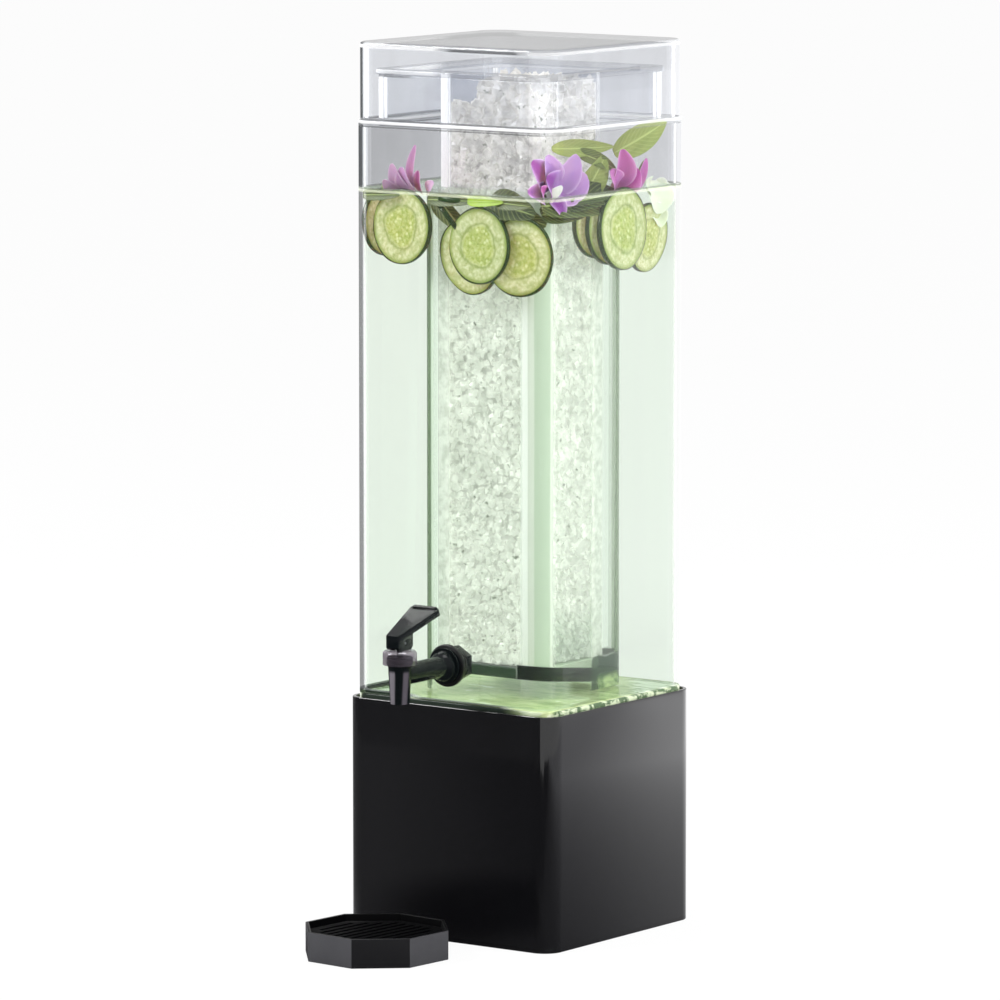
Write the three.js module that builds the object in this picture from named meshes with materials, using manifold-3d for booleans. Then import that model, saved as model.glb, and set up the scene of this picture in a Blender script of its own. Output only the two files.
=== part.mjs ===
// A square clear acrylic drink dispenser on a black acrylic base box, with a lift-out ice
// chamber, a lever tap and an octagonal drip tray. Millimetres, +Z up, the tap faces -Y.
// The origin is the middle of the base box's underside.
import * as THREE from "three";
import { mergeVertices } from "three/addons/utils/BufferGeometryUtils.js";
import Module from "manifold-3d";

const wasm = await Module();
wasm.setup();

// General clearances
const SLIP_GAP = 0.3; // between a piece and the hole or pocket that it sits in
const CUT_OVERRUN = 2; // how far a cutter runs past the face that it opens

// Drink container
const TANK_SIDE = 184;
const TANK_CORNER_R = 18;
const TANK_WALL = 4;
const TANK_FLOOR = 6;
const TANK_WALL_HEIGHT = 428;
const SHOULDER_THICK = 5;
const SHOULDER_WIDTH = 11.5; // from the container's outside to the neck's outside
const NECK_RISE = 34;
const NECK_CORNER_R = 16;
const NECK_WALL = 4;

// Base box
const BASE_MARGIN = 3; // how far the base stands out past the container on each side
const BASE_HEIGHT = 178;
const BASE_CORNER_R = 15;
const BASE_WALL = BASE_MARGIN - SLIP_GAP;
const BASE_RIM = 3; // how far the walls rise round the container's foot
const BASE_TOP_THICK = 5;
const BASE_BOTTOM_THICK = 3;

// Ice chamber
const TUBE_SIDE = 95;
const TUBE_CORNER_R = 17;
const TUBE_WALL = 3;
const TUBE_FLOOR = 8;
const TUBE_CLEAR_BELOW = 15; // from the container's floor to the tube's underside
const FLANGE_OVERHANG = 2; // how far the flange stands out past the neck
const FLANGE_THICK = 4;

// Lid
const LID_SETBACK = 1; // how far the lid's outside stands in from the container's outside
const LID_CORNER_R = 18;
const LID_WALL = 3.5;
const LID_SKIRT_HEIGHT = 54.5;
const LID_TOP_THICK = 4;

// Tap: shank through the container's front wall
const TAP_RISE = 34.5; // from the container's underside to the shank's axis
const TAP_REACH = 61; // from the container's front to the barrel's axis
const SHANK_R = 7.75;
const SHANK_BORE_R = 4.25;
const SHANK_TAIL = 4; // how far the shank stands past its nut
const OUTER_WASHER_R = 16;
const OUTER_WASHER_THICK = 3.5;
const INNER_WASHER_R = 13;
const INNER_WASHER_THICK = 2.5;
const NUT_FLATS = 24;
const NUT_THICK = 7;
const TAP_FLANGE_R = 13.5;
const TAP_FLANGE_THICK = 3;
const DOME_R = 11.5;
const DOME_LENGTH = 7;
const ARM_R = 8;

// Tap: upright barrel, heights counted from the shank's axis
const SPOUT_DROP = 21.2;
const SPOUT_R = 7.3;
const SPOUT_BORE_R = 4.5;
const SEAT_DROP = 6.5;
const BARREL_R = 8.85;
const CHAMBER_R = 6.5;
const COLLAR_RISE = 7.5;
const COLLAR_R = 9.6;
const RIM_RISE = 12.5;

// Tap: bonnet and diaphragm
const DIAPHRAGM_THICK = 1.2;
const BONNET_R = 12.75;
const BONNET_SKIRT = 4.5; // how far the skirt reaches down past the barrel's rim
const BONNET_TOP_THICK = 5;
const BONNET_EDGE_R = 1.5;

// Tap: valve stem and seat cup
const STEM_R = 2;
const STEM_FOOT_R = 3.5;
const STEM_FOOT_THICK = 2.4;
const EYE_R = 3;
const EYE_WIDTH = 4;
const CUP_R = 5.8;
const CUP_HEIGHT = 9;
const CUP_SOLE = 3;
const CUP_NOSE = 1.5;
const PIN_R = 1;

// Tap: lever
const PIN_RISE = 5.5; // from the lever's flat heel to the pin's axis
const LEVER_RANGE_DEG = 45;
const CAM_RATE = 4.5; // stem lift for each radian of lever
const BLOCK_WIDTH = 11;
const BLOCK_BACK = 9;
const BLOCK_CHAMFER = 2.5;
const PADDLE_LENGTH = 45.4;
const PADDLE_THICK = 5;
const PADDLE_END_WIDTH = 25.6;
const PADDLE_SLOPE_DEG = 21.7;
const PADDLE_TOP_RISE = 6; // from the pin's axis to the paddle's front top edge
const PADDLE_CORNER_R = 2.5;
const LIP_RISE = 1.2;
const LIP_LENGTH = 3;

// Drip tray
const TRAY_FLATS = 104;
const TRAY_HEIGHT = 22;
const TRAY_WALL = 2.5;
const TRAY_FLOOR = 2.5;
const TRAY_LEDGE = 2;
const TRAY_LEDGE_RISE = 14;
const TRAY_LEFT = 10; // from the tap's plane to the tray's middle
const TRAY_FORWARD = 16; // from the spout's axis to the tray's middle
const TRAY_TURN_DEG = -5;
const GRATE_THICK = 2.5;
const GRATE_RIM = 7;
const SLOT_WIDTH = 3.6;
const SLOT_PITCH = 8;

// Counts of facets
const CORNER_STEPS = 6;
const ROUND_STEPS = 40;
const SMALL_STEPS = 24;
const CAM_STEPS = 8;
const TRAY_SIDES = 8;

// Heights and places that follow from the sizes above
const TANK_Z = BASE_HEIGHT - BASE_RIM;
const TANK_WALL_Z = TANK_Z + TANK_FLOOR;
const SHOULDER_Z = TANK_WALL_Z + TANK_WALL_HEIGHT;
const NECK_Z = SHOULDER_Z + SHOULDER_THICK;
const FLANGE_Z = NECK_Z + NECK_RISE;
const TUBE_Z = TANK_WALL_Z + TUBE_CLEAR_BELOW;
const NECK_SIDE = TANK_SIDE - 2 * SHOULDER_WIDTH;
const TAP_Z = TANK_Z + TAP_RISE;
const WALL_Y = -TANK_SIDE / 2;
const SHANK_HOLE_R = SHANK_R + SLIP_GAP;
const BARREL_Y = WALL_Y - TAP_REACH;
const BONNET_TOP_Z = RIM_RISE + DIAPHRAGM_THICK + BONNET_TOP_THICK;
const PIN_Z = BONNET_TOP_Z + SLIP_GAP + PIN_RISE;

const radians = THREE.MathUtils.degToRad;

// A square outline with rounded corners, centred on the origin.
function roundedSquare(side, cornerR, OutlineClass = THREE.Shape) {
  const half = side / 2;
  const r = Math.min(cornerR, half);
  const outline = new OutlineClass();
  for (let corner = 0; corner < 4; corner++) {
    const start = (corner * Math.PI) / 2;
    const middle = start + Math.PI / 4;
    const x = Math.sign(Math.cos(middle)) * (half - r);
    const y = Math.sign(Math.sin(middle)) * (half - r);
    outline.absarc(x, y, r, start, start + Math.PI / 2);
  }
  outline.closePath();
  return outline;
}

function extrude(outline, thickness) {
  return new THREE.ExtrudeGeometry(outline, {
    depth: thickness,
    bevelEnabled: false,
    curveSegments: CORNER_STEPS,
  });
}

// A flat plate with rounded corners.
function plate(side, cornerR, thickness) {
  return extrude(roundedSquare(side, cornerR), thickness);
}

// An upright square tube: the inner corners keep the wall's thickness.
function squareTube(side, cornerR, wall, height) {
  const outline = roundedSquare(side, cornerR);
  const innerR = Math.max(cornerR - wall, SLIP_GAP);
  outline.holes.push(roundedSquare(side - 2 * wall, innerR, THREE.Path));
  return extrude(outline, height);
}

// A turned piece: [radius, height] points spun about Z. A profile that doesn't start on the
// axis is a ring's, and closes on its first point.
function turned(profile, steps = ROUND_STEPS) {
  const points = profile.map(([r, z]) => new THREE.Vector2(r, z));
  if (points[0].x > 0) points.push(points[0]);
  return new THREE.LatheGeometry(points, steps).rotateX(Math.PI / 2);
}

// A plain cylinder from z = low to z = high.
function cylinder(r, low, high, steps = ROUND_STEPS) {
  return turned([[0, low], [r, low], [r, high], [0, high]], steps);
}

// A round ring from z = low to z = high.
function ring(outerR, innerR, low, high, steps = ROUND_STEPS) {
  return turned([[innerR, low], [outerR, low], [outerR, high], [innerR, high]], steps);
}

// Turns a piece made along +Z so that it points along -Y, out of the container's front.
function pointForward(geometry) {
  return geometry.rotateX(Math.PI / 2);
}

// An outline in (y, z), given as points, extruded across X and centred on x = 0.
function acrossX(points, width) {
  const outline = new THREE.Shape(points.map(([y, z]) => new THREE.Vector2(y, z)));
  return extrude(outline, width)
    .translate(0, 0, -width / 2)
    .rotateZ(Math.PI / 2)
    .rotateY(Math.PI / 2);
}

// A cylinder along X, centred on x = 0.
function roundAcrossX(r, width) {
  return cylinder(r, -width / 2, width / 2, SMALL_STEPS).rotateY(Math.PI / 2);
}

function solidOf(geometry) {
  const bare = geometry.clone();
  bare.deleteAttribute("normal");
  bare.deleteAttribute("uv");
  const merged = mergeVertices(bare);
  return new wasm.Manifold(
    new wasm.Mesh({
      numProp: 3,
      vertProperties: merged.attributes.position.array,
      triVerts: new Uint32Array(merged.index.array),
    }),
  );
}

function geometryOf(solid) {
  const mesh = solid.getMesh();
  const geometry = new THREE.BufferGeometry();
  geometry.setAttribute("position", new THREE.BufferAttribute(mesh.vertProperties, 3));
  geometry.setIndex(new THREE.BufferAttribute(mesh.triVerts, 1));
  geometry.computeVertexNormals();
  return geometry;
}

function joined(...geometries) {
  return geometryOf(geometries.map(solidOf).reduce((whole, next) => whole.add(next)));
}

function cut(geometry, ...cutters) {
  return geometryOf(cutters.map(solidOf).reduce((left, next) => left.subtract(next), solidOf(geometry)));
}

function finish(color, roughness, extra = {}) {
  return () => new THREE.MeshStandardMaterial({ color, roughness, metalness: 0, ...extra });
}

const blackAcrylic = finish(0x1c1c1e, 0.12);
const clearAcrylic = finish(0xdfe9e4, 0.05, { transparent: true, opacity: 0.3 });
const blackPlastic = finish(0x101112, 0.25);
const smokePlastic = finish(0x6b6870, 0.15, { transparent: true, opacity: 0.6 });
const silicone = finish(0x1b1b1b, 0.7);
const trayPlastic = finish(0x2c2d2f, 0.3);
const steel = finish(0xb9bcc0, 0.3, { metalness: 1 });

function piece(name, geometry, material, place = [0, 0, 0]) {
  const mesh = new THREE.Mesh(geometry, material());
  mesh.name = name;
  mesh.position.set(...place);
  return mesh;
}

// The base: a bottom plate, four walls that rise past the top plate as a rim, and the top plate
// between them, which the container stands on.
function makeBase() {
  const side = TANK_SIDE + 2 * BASE_MARGIN;
  const topPlate = plate(side - 2 * BASE_WALL, BASE_CORNER_R - BASE_WALL, BASE_TOP_THICK);
  const wallHeight = BASE_HEIGHT - BASE_BOTTOM_THICK;
  const group = new THREE.Group();
  group.add(
    piece("base_bottom_plate", plate(side, BASE_CORNER_R, BASE_BOTTOM_THICK), blackAcrylic),
    piece("base_walls", squareTube(side, BASE_CORNER_R, BASE_WALL, wallHeight), blackAcrylic,
      [0, 0, BASE_BOTTOM_THICK]),
    piece("base_top_plate", topPlate, blackAcrylic, [0, 0, TANK_Z - BASE_TOP_THICK]),
  );
  return group;
}

// The container's walls, with the shank's hole through the front one.
function makeTankWalls() {
  const walls = squareTube(TANK_SIDE, TANK_CORNER_R, TANK_WALL, TANK_WALL_HEIGHT);
  const hole = pointForward(cylinder(SHANK_HOLE_R, -CUT_OVERRUN, TANK_WALL + CUT_OVERRUN));
  hole.translate(0, WALL_Y + TANK_WALL, TAP_Z - TANK_WALL_Z);
  return cut(walls, hole);
}

// The flat frame that closes the walls round the neck: its hole is the neck's inside.
function makeShoulder() {
  const outline = roundedSquare(TANK_SIDE, TANK_CORNER_R);
  const holeR = Math.max(NECK_CORNER_R - NECK_WALL, SLIP_GAP);
  outline.holes.push(roundedSquare(NECK_SIDE - 2 * NECK_WALL, holeR, THREE.Path));
  return extrude(outline, SHOULDER_THICK);
}

function makeContainer() {
  const group = new THREE.Group();
  group.add(
    piece("container_floor", plate(TANK_SIDE, TANK_CORNER_R, TANK_FLOOR), clearAcrylic, [0, 0, TANK_Z]),
    piece("container_walls", makeTankWalls(), clearAcrylic, [0, 0, TANK_WALL_Z]),
    piece("container_shoulder", makeShoulder(), clearAcrylic, [0, 0, SHOULDER_Z]),
    piece("container_neck", squareTube(NECK_SIDE, NECK_CORNER_R, NECK_WALL, NECK_RISE), clearAcrylic,
      [0, 0, NECK_Z]),
  );
  return group;
}

// The frame that hangs the tube on the neck: its hole is the tube's inside.
function makeFlange() {
  const outline = roundedSquare(NECK_SIDE + 2 * FLANGE_OVERHANG, NECK_CORNER_R + FLANGE_OVERHANG);
  const holeR = Math.max(TUBE_CORNER_R - TUBE_WALL, SLIP_GAP);
  outline.holes.push(roundedSquare(TUBE_SIDE - 2 * TUBE_WALL, holeR, THREE.Path));
  return extrude(outline, FLANGE_THICK);
}

function makeIceChamber() {
  const tubeLow = TUBE_Z + TUBE_FLOOR;
  const group = new THREE.Group();
  group.add(
    piece("ice_tube_floor", plate(TUBE_SIDE, TUBE_CORNER_R, TUBE_FLOOR), clearAcrylic, [0, 0, TUBE_Z]),
    piece("ice_tube", squareTube(TUBE_SIDE, TUBE_CORNER_R, TUBE_WALL, FLANGE_Z - tubeLow), clearAcrylic,
      [0, 0, tubeLow]),
    piece("ice_chamber_flange", makeFlange(), clearAcrylic, [0, 0, FLANGE_Z]),
  );
  return group;
}

function makeLid() {
  const side = TANK_SIDE - 2 * LID_SETBACK;
  const group = new THREE.Group();
  group.add(
    piece("lid_skirt", squareTube(side, LID_CORNER_R, LID_WALL, LID_SKIRT_HEIGHT), clearAcrylic,
      [0, 0, NECK_Z]),
    piece("lid_top_plate", plate(side, LID_CORNER_R, LID_TOP_THICK), clearAcrylic,
      [0, 0, NECK_Z + LID_SKIRT_HEIGHT]),
  );
  return group;
}

// The tap's moulding. Its local origin is where the barrel's and the shank's axes cross.
function makeTapBody() {
  const clamp = TANK_WALL + INNER_WASHER_THICK + NUT_THICK + SHANK_TAIL;
  const flangeBack = TAP_REACH - OUTER_WASHER_THICK;
  const flangeFront = flangeBack - TAP_FLANGE_THICK;
  const domeFront = flangeFront - DOME_LENGTH;
  const arm = turned([
    [0, 0],
    [ARM_R, 0],
    [ARM_R, domeFront],
    [(ARM_R + DOME_R) / 2, domeFront + DOME_LENGTH / 4],
    [DOME_R, flangeFront - DOME_LENGTH / 4],
    [DOME_R, flangeFront],
    [TAP_FLANGE_R, flangeFront],
    [TAP_FLANGE_R, flangeBack],
    [SHANK_R, flangeBack],
    [SHANK_R, TAP_REACH + clamp],
    [0, TAP_REACH + clamp],
  ]).rotateX(-Math.PI / 2);
  const barrel = turned([
    [0, -SPOUT_DROP],
    [SPOUT_R, -SPOUT_DROP],
    [BARREL_R, COLLAR_RISE],
    [COLLAR_R, COLLAR_RISE],
    [COLLAR_R, RIM_RISE],
    [0, RIM_RISE],
  ]);
  const shankBore = cylinder(SHANK_BORE_R, 0, TAP_REACH + clamp + CUT_OVERRUN, SMALL_STEPS);
  const waterway = turned([
    [0, -SPOUT_DROP - CUT_OVERRUN],
    [SPOUT_BORE_R, -SPOUT_DROP - CUT_OVERRUN],
    [SPOUT_BORE_R, -SEAT_DROP],
    [CHAMBER_R, -SEAT_DROP],
    [CHAMBER_R, RIM_RISE + CUT_OVERRUN],
    [0, RIM_RISE + CUT_OVERRUN],
  ]);
  return cut(joined(arm, barrel), shankBore.rotateX(-Math.PI / 2), waterway);
}

// The bonnet screws over the barrel's collar, and the stem comes up through its top.
function makeBonnet() {
  const skirtR = COLLAR_R + SLIP_GAP;
  const ceiling = RIM_RISE + DIAPHRAGM_THICK;
  const stemHoleR = STEM_R + SLIP_GAP;
  return turned([
    [skirtR, RIM_RISE - BONNET_SKIRT],
    [BONNET_R, RIM_RISE - BONNET_SKIRT],
    [BONNET_R, BONNET_TOP_Z - BONNET_EDGE_R],
    [BONNET_R - BONNET_EDGE_R, BONNET_TOP_Z],
    [stemHoleR, BONNET_TOP_Z],
    [stemHoleR, ceiling],
    [skirtR, ceiling],
  ]);
}

// The stem: a foot held in the seat cup, a rod and a cross-bored eye for the pin.
function makeStem() {
  const footLow = SLIP_GAP - SEAT_DROP + CUP_SOLE + SLIP_GAP;
  const shaft = turned([
    [0, footLow],
    [STEM_FOOT_R, footLow],
    [STEM_FOOT_R, footLow + STEM_FOOT_THICK],
    [STEM_R, footLow + STEM_FOOT_THICK],
    [STEM_R, PIN_Z],
    [0, PIN_Z],
  ], SMALL_STEPS);
  const eye = roundAcrossX(EYE_R, EYE_WIDTH).translate(0, 0, PIN_Z);
  const pinHole = roundAcrossX(PIN_R + SLIP_GAP, EYE_WIDTH + CUT_OVERRUN).translate(0, 0, PIN_Z);
  return cut(joined(shaft, eye), pinHole);
}

// The silicone cup closes the spout's bore and is hollow round the stem's foot.
function makeSeatCup() {
  const sole = SLIP_GAP - SEAT_DROP;
  const pocketLow = sole + CUP_SOLE;
  const pocketHigh = pocketLow + STEM_FOOT_THICK + 2 * SLIP_GAP;
  const noseR = SPOUT_BORE_R - 2 * SLIP_GAP;
  return turned([
    [0, sole - CUP_NOSE],
    [noseR - CUP_NOSE, sole - CUP_NOSE],
    [noseR, sole],
    [CUP_R, sole],
    [CUP_R, sole + CUP_HEIGHT],
    [STEM_R + SLIP_GAP, sole + CUP_HEIGHT],
    [STEM_R + SLIP_GAP, pocketHigh],
    [STEM_FOOT_R + SLIP_GAP, pocketHigh],
    [STEM_FOOT_R + SLIP_GAP, pocketLow],
    [0, pocketLow],
  ]);
}

// The heel is an involute: its lowest point sinks by CAM_RATE for each radian of tilt, so
// the stem rises evenly while the heel rolls on the bonnet. Points are (y, z) from the pin.
function camPoint(angle) {
  const depth = PIN_RISE + CAM_RATE * angle;
  return [
    -depth * Math.sin(angle) - CAM_RATE * Math.cos(angle),
    -depth * Math.cos(angle) + CAM_RATE * Math.sin(angle),
  ];
}

function makeLever() {
  const fullTilt = radians(LEVER_RANGE_DEG);
  const slope = radians(PADDLE_SLOPE_DEG);
  const heel = [];
  for (let step = 0; step <= CAM_STEPS; step++) heel.push(camPoint((fullTilt * step) / CAM_STEPS));
  const front = heel[CAM_STEPS][0];
  // The height of the paddle's middle plane, where the back of the block ends inside it.
  const frontMiddle = PADDLE_TOP_RISE - PADDLE_THICK / 2 / Math.cos(slope);
  const middleZ = (y) => frontMiddle + (y - front) * Math.tan(slope);
  const block = acrossX([
    ...heel.reverse(),
    [BLOCK_BACK - BLOCK_CHAMFER, -PIN_RISE],
    [BLOCK_BACK, BLOCK_CHAMFER - PIN_RISE],
    [BLOCK_BACK, middleZ(BLOCK_BACK)],
    [front, PADDLE_TOP_RISE],
  ], BLOCK_WIDTH);
  // Room for the stem's eye, and for its rod from upright to full tilt.
  const room = EYE_R + SLIP_GAP;
  const rod = STEM_R + SLIP_GAP;
  const reach = PIN_RISE + CAM_RATE * fullTilt + CUT_OVERRUN;
  const slotWidth = EYE_WIDTH + 2 * SLIP_GAP;
  const rodRoom = acrossX([
    [-reach * Math.sin(fullTilt) - rod * Math.cos(fullTilt), -reach * Math.cos(fullTilt) + rod * Math.sin(fullTilt)],
    [-reach * Math.sin(fullTilt), -reach],
    [rod, -reach],
    [rod, 0],
    [-rod * Math.cos(fullTilt), rod * Math.sin(fullTilt)],
  ], slotWidth);
  const pinHole = roundAcrossX(PIN_R + SLIP_GAP, BLOCK_WIDTH + CUT_OVERRUN);
  const solid = joined(block, makePaddle(slope).translate(0, front, PADDLE_TOP_RISE));
  return cut(solid, roundAcrossX(room, slotWidth), rodRoom, pinHole);
}

// The paddle: a tapered plate with a raised lip at its end, leaning back at its slope. Its
// local origin is the middle of its front top edge.
function makePaddle(slope) {
  const half = BLOCK_WIDTH / 2;
  const endHalf = PADDLE_END_WIDTH / 2;
  const round = PADDLE_CORNER_R;
  const outline = new THREE.Shape();
  outline.moveTo(-half, 0);
  outline.lineTo(half, 0);
  outline.lineTo(endHalf, PADDLE_LENGTH - round);
  outline.quadraticCurveTo(endHalf, PADDLE_LENGTH, endHalf - round, PADDLE_LENGTH);
  outline.lineTo(round - endHalf, PADDLE_LENGTH);
  outline.quadraticCurveTo(-endHalf, PADDLE_LENGTH, -endHalf, PADDLE_LENGTH - round);
  outline.closePath();
  const blade = extrude(outline, PADDLE_THICK).translate(0, 0, -PADDLE_THICK);
  const lip = new THREE.BoxGeometry(PADDLE_END_WIDTH - 2 * round, LIP_LENGTH, LIP_RISE + PADDLE_THICK);
  lip.translate(0, PADDLE_LENGTH - LIP_LENGTH / 2, (LIP_RISE - PADDLE_THICK) / 2);
  return joined(blade, lip).rotateX(slope);
}

function makeNut() {
  const corner = NUT_FLATS / 2 / Math.cos(Math.PI / 6);
  const hexagon = cylinder(corner, 0, NUT_THICK, 6);
  const bore = cylinder(SHANK_HOLE_R, -CUT_OVERRUN, NUT_THICK + CUT_OVERRUN);
  return cut(hexagon, bore).rotateX(-Math.PI / 2);
}

function makeTap() {
  const backward = (geometry) => geometry.rotateX(-Math.PI / 2);
  const inside = TAP_REACH + TANK_WALL;
  const outerWasher = ring(OUTER_WASHER_R, SHANK_HOLE_R, TAP_REACH - OUTER_WASHER_THICK, TAP_REACH);
  const innerWasher = ring(INNER_WASHER_R, SHANK_HOLE_R, inside, inside + INNER_WASHER_THICK);
  const diaphragm = ring(COLLAR_R, STEM_R + SLIP_GAP, RIM_RISE, RIM_RISE + DIAPHRAGM_THICK);
  const group = new THREE.Group();
  group.position.set(0, BARREL_Y, TAP_Z);
  group.add(
    piece("tap_body", makeTapBody(), blackPlastic),
    piece("tap_outer_washer", backward(outerWasher), silicone),
    piece("tap_inner_washer", backward(innerWasher), silicone),
    piece("tap_lock_nut", makeNut(), blackPlastic, [0, inside + INNER_WASHER_THICK, 0]),
    piece("stem_diaphragm", diaphragm, silicone),
    piece("tap_bonnet", makeBonnet(), smokePlastic),
    piece("valve_stem", makeStem(), blackPlastic),
    piece("seat_cup", makeSeatCup(), silicone),
    piece("lever_pin", roundAcrossX(PIN_R, BLOCK_WIDTH), steel, [0, 0, PIN_Z]),
    piece("tap_lever", makeLever(), blackPlastic, [0, 0, PIN_Z]),
  );
  return group;
}

// The distance from an octagon's middle to its corners, for a distance to its flats.
function cornerR(flats) {
  return flats / 2 / Math.cos(Math.PI / TRAY_SIDES);
}

// An eight-sided pan with a ledge all round inside, which carries the grate.
function makePan() {
  const outer = cornerR(TRAY_FLATS);
  const rim = cornerR(TRAY_FLATS - 2 * TRAY_WALL);
  const sump = cornerR(TRAY_FLATS - 2 * (TRAY_WALL + TRAY_LEDGE));
  return turned([
    [0, 0],
    [outer, 0],
    [outer, TRAY_HEIGHT],
    [rim, TRAY_HEIGHT],
    [rim, TRAY_LEDGE_RISE],
    [sump, TRAY_LEDGE_RISE],
    [sump, TRAY_FLOOR],
    [0, TRAY_FLOOR],
  ], TRAY_SIDES).rotateZ(Math.PI / TRAY_SIDES);
}

// An eight-sided plate with parallel slots as long as the plate is wide there.
function makeGrate() {
  const flats = TRAY_FLATS - 2 * TRAY_WALL - 2 * SLIP_GAP;
  const outline = new THREE.Shape();
  for (let side = 0; side < TRAY_SIDES; side++) {
    const angle = ((side + 1 / 2) * 2 * Math.PI) / TRAY_SIDES;
    const place = [cornerR(flats) * Math.cos(angle), cornerR(flats) * Math.sin(angle)];
    if (side === 0) outline.moveTo(...place);
    else outline.lineTo(...place);
  }
  outline.closePath();
  const half = flats / 2;
  const openHalf = half - GRATE_RIM;
  const straight = half * Math.tan(Math.PI / TRAY_SIDES);
  const steps = Math.floor((openHalf - SLOT_WIDTH / 2) / SLOT_PITCH);
  const slots = [];
  for (let step = -steps; step <= steps; step++) {
    const edge = Math.abs(step) * SLOT_PITCH + SLOT_WIDTH / 2;
    const reach = Math.min(openHalf, half + straight - edge - GRATE_RIM * Math.SQRT2);
    const slot = new THREE.BoxGeometry(SLOT_WIDTH, 2 * reach, GRATE_THICK + 2 * CUT_OVERRUN);
    slots.push(slot.translate(step * SLOT_PITCH, 0, GRATE_THICK / 2));
  }
  return cut(extrude(outline, GRATE_THICK), ...slots);
}

function makeDripTray() {
  const group = new THREE.Group();
  group.position.set(-TRAY_LEFT, BARREL_Y - TRAY_FORWARD, 0);
  group.rotation.z = radians(TRAY_TURN_DEG);
  group.add(
    piece("drip_tray_pan", makePan(), trayPlastic),
    piece("drip_grate", makeGrate(), trayPlastic, [0, 0, TRAY_LEDGE_RISE + SLIP_GAP]),
  );
  return group;
}

const dispenser = new THREE.Group();
dispenser.add(makeBase(), makeContainer(), makeIceChamber(), makeLid(), makeTap(), makeDripTray());

export default dispenser;
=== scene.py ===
"""The look of the acrylic beverage dispenser: clear tank, ice chamber, lid and tap on a black riser box."""
import math

import bmesh
import bpy
import numpy as np
from mathutils import Matrix, Vector


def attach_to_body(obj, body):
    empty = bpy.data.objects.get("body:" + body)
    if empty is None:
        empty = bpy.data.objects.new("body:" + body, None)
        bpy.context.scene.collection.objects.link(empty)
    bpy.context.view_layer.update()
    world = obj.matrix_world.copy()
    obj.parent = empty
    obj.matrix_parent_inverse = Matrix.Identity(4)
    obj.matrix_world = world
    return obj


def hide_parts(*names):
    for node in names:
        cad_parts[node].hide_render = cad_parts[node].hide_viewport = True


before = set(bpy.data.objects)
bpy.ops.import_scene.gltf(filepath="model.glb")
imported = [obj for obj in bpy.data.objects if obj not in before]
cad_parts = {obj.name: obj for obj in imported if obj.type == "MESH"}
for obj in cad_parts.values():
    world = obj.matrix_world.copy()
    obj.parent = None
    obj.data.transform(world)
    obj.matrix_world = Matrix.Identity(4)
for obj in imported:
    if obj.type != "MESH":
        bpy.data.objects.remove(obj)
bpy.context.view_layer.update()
MM = 0.001

# Camera: the photograph's viewing angle
AZIMUTH_DEG, PITCH_DEG = 35.8, 7.315
CAMERA_DISTANCE, CAMERA_HEIGHT, CAMERA_SIDE = 5.4773, 1.0276, -0.0153
CAMERA_LENS, SENSOR_WIDTH = 263.0, 36.0
TURN_COS, TURN_SIN = 0.811, 0.585  # of the azimuth, for marks that lie left or right in the photograph


def placed(name, data):
    """A new object of this data, in the scene."""
    made = bpy.data.objects.new(name, data)
    bpy.context.scene.collection.objects.link(made)
    return made


def make_camera():
    """The camera stands at its distance from the object's axis, turned by the azimuth and pitched down."""
    data = bpy.data.cameras.new("camera")
    data.lens, data.sensor_width, data.clip_end = CAMERA_LENS, SENSOR_WIDTH, 60.0
    camera = placed("camera", data)
    turn = math.radians(AZIMUTH_DEG)
    camera.location = (
        math.sin(turn) * CAMERA_DISTANCE + math.cos(turn) * CAMERA_SIDE,
        -math.cos(turn) * CAMERA_DISTANCE + math.sin(turn) * CAMERA_SIDE,
        CAMERA_HEIGHT,
    )
    camera.rotation_euler = (math.radians(90 - PITCH_DEG), 0, turn)
    bpy.context.scene.camera = camera


make_camera()

# Sizes and heights, in millimetres, as the solids have them
BASE = dict(half=95.0, corner=15.0)
SEAT = dict(half=92.3, corner=12.3)
TANK = dict(half=92.0, corner=18.0)
NECK = dict(half=80.5, corner=16.0)
TUBE = dict(half=47.5, corner=17.0)
FLANGE = dict(half=82.5, corner=18.0)
LID = dict(half=91.0, corner=18.0)
TANK_WALL, TUBE_WALL, LID_WALL, BASE_WALL = 4.0, 3.0, 3.5, 2.7
BASE_PLATE_Z, FOOT_Z, RIM_Z, FLOOR_Z = 3.0, 175.0, 178.0, 181.0
SEAT_PLATE, SHOULDER_FRAME, FLANGE_FRAME = 5.0, 15.5, 38.0
TUBE_FOOT_Z, TUBE_FLOOR_Z = 196.0, 204.0
SHOULDER_Z, NECK_Z, FLANGE_Z, FLANGE_TOP_Z, LID_PLATE_Z, TOP_Z = 609.0, 614.0, 648.0, 652.0, 668.5, 672.5
TRAY_CENTRE = (-10.0, -169.0)

# The contents, which have no solid
WATER_Z = 563.0
DRINK = dict(half=87.7, corner=13.7)
FILM = dict(half=57.5, corner=19.0)
FILM_SHIFT, FILM_FOOT_Z, FILM_WALL = (1.95, 1.4), 183.0, 0.5
ICE_CORE = dict(half=41.5, corner=11.0)


# Meshes
def filled_mesh(name, points, faces):
    """A mesh from points in metres and a list of arrays of faces."""
    mesh = bpy.data.meshes.new(name)
    mesh.from_pydata(np.asarray(points).tolist(), [], [face for some in faces for face in some.tolist()])
    return mesh


def attach(piece, body, replaced=()):
    """The piece rides on its body and stands for the nodes that it replaces."""
    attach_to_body(piece, body)
    if replaced:
        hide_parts(*replaced)
    return piece


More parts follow.
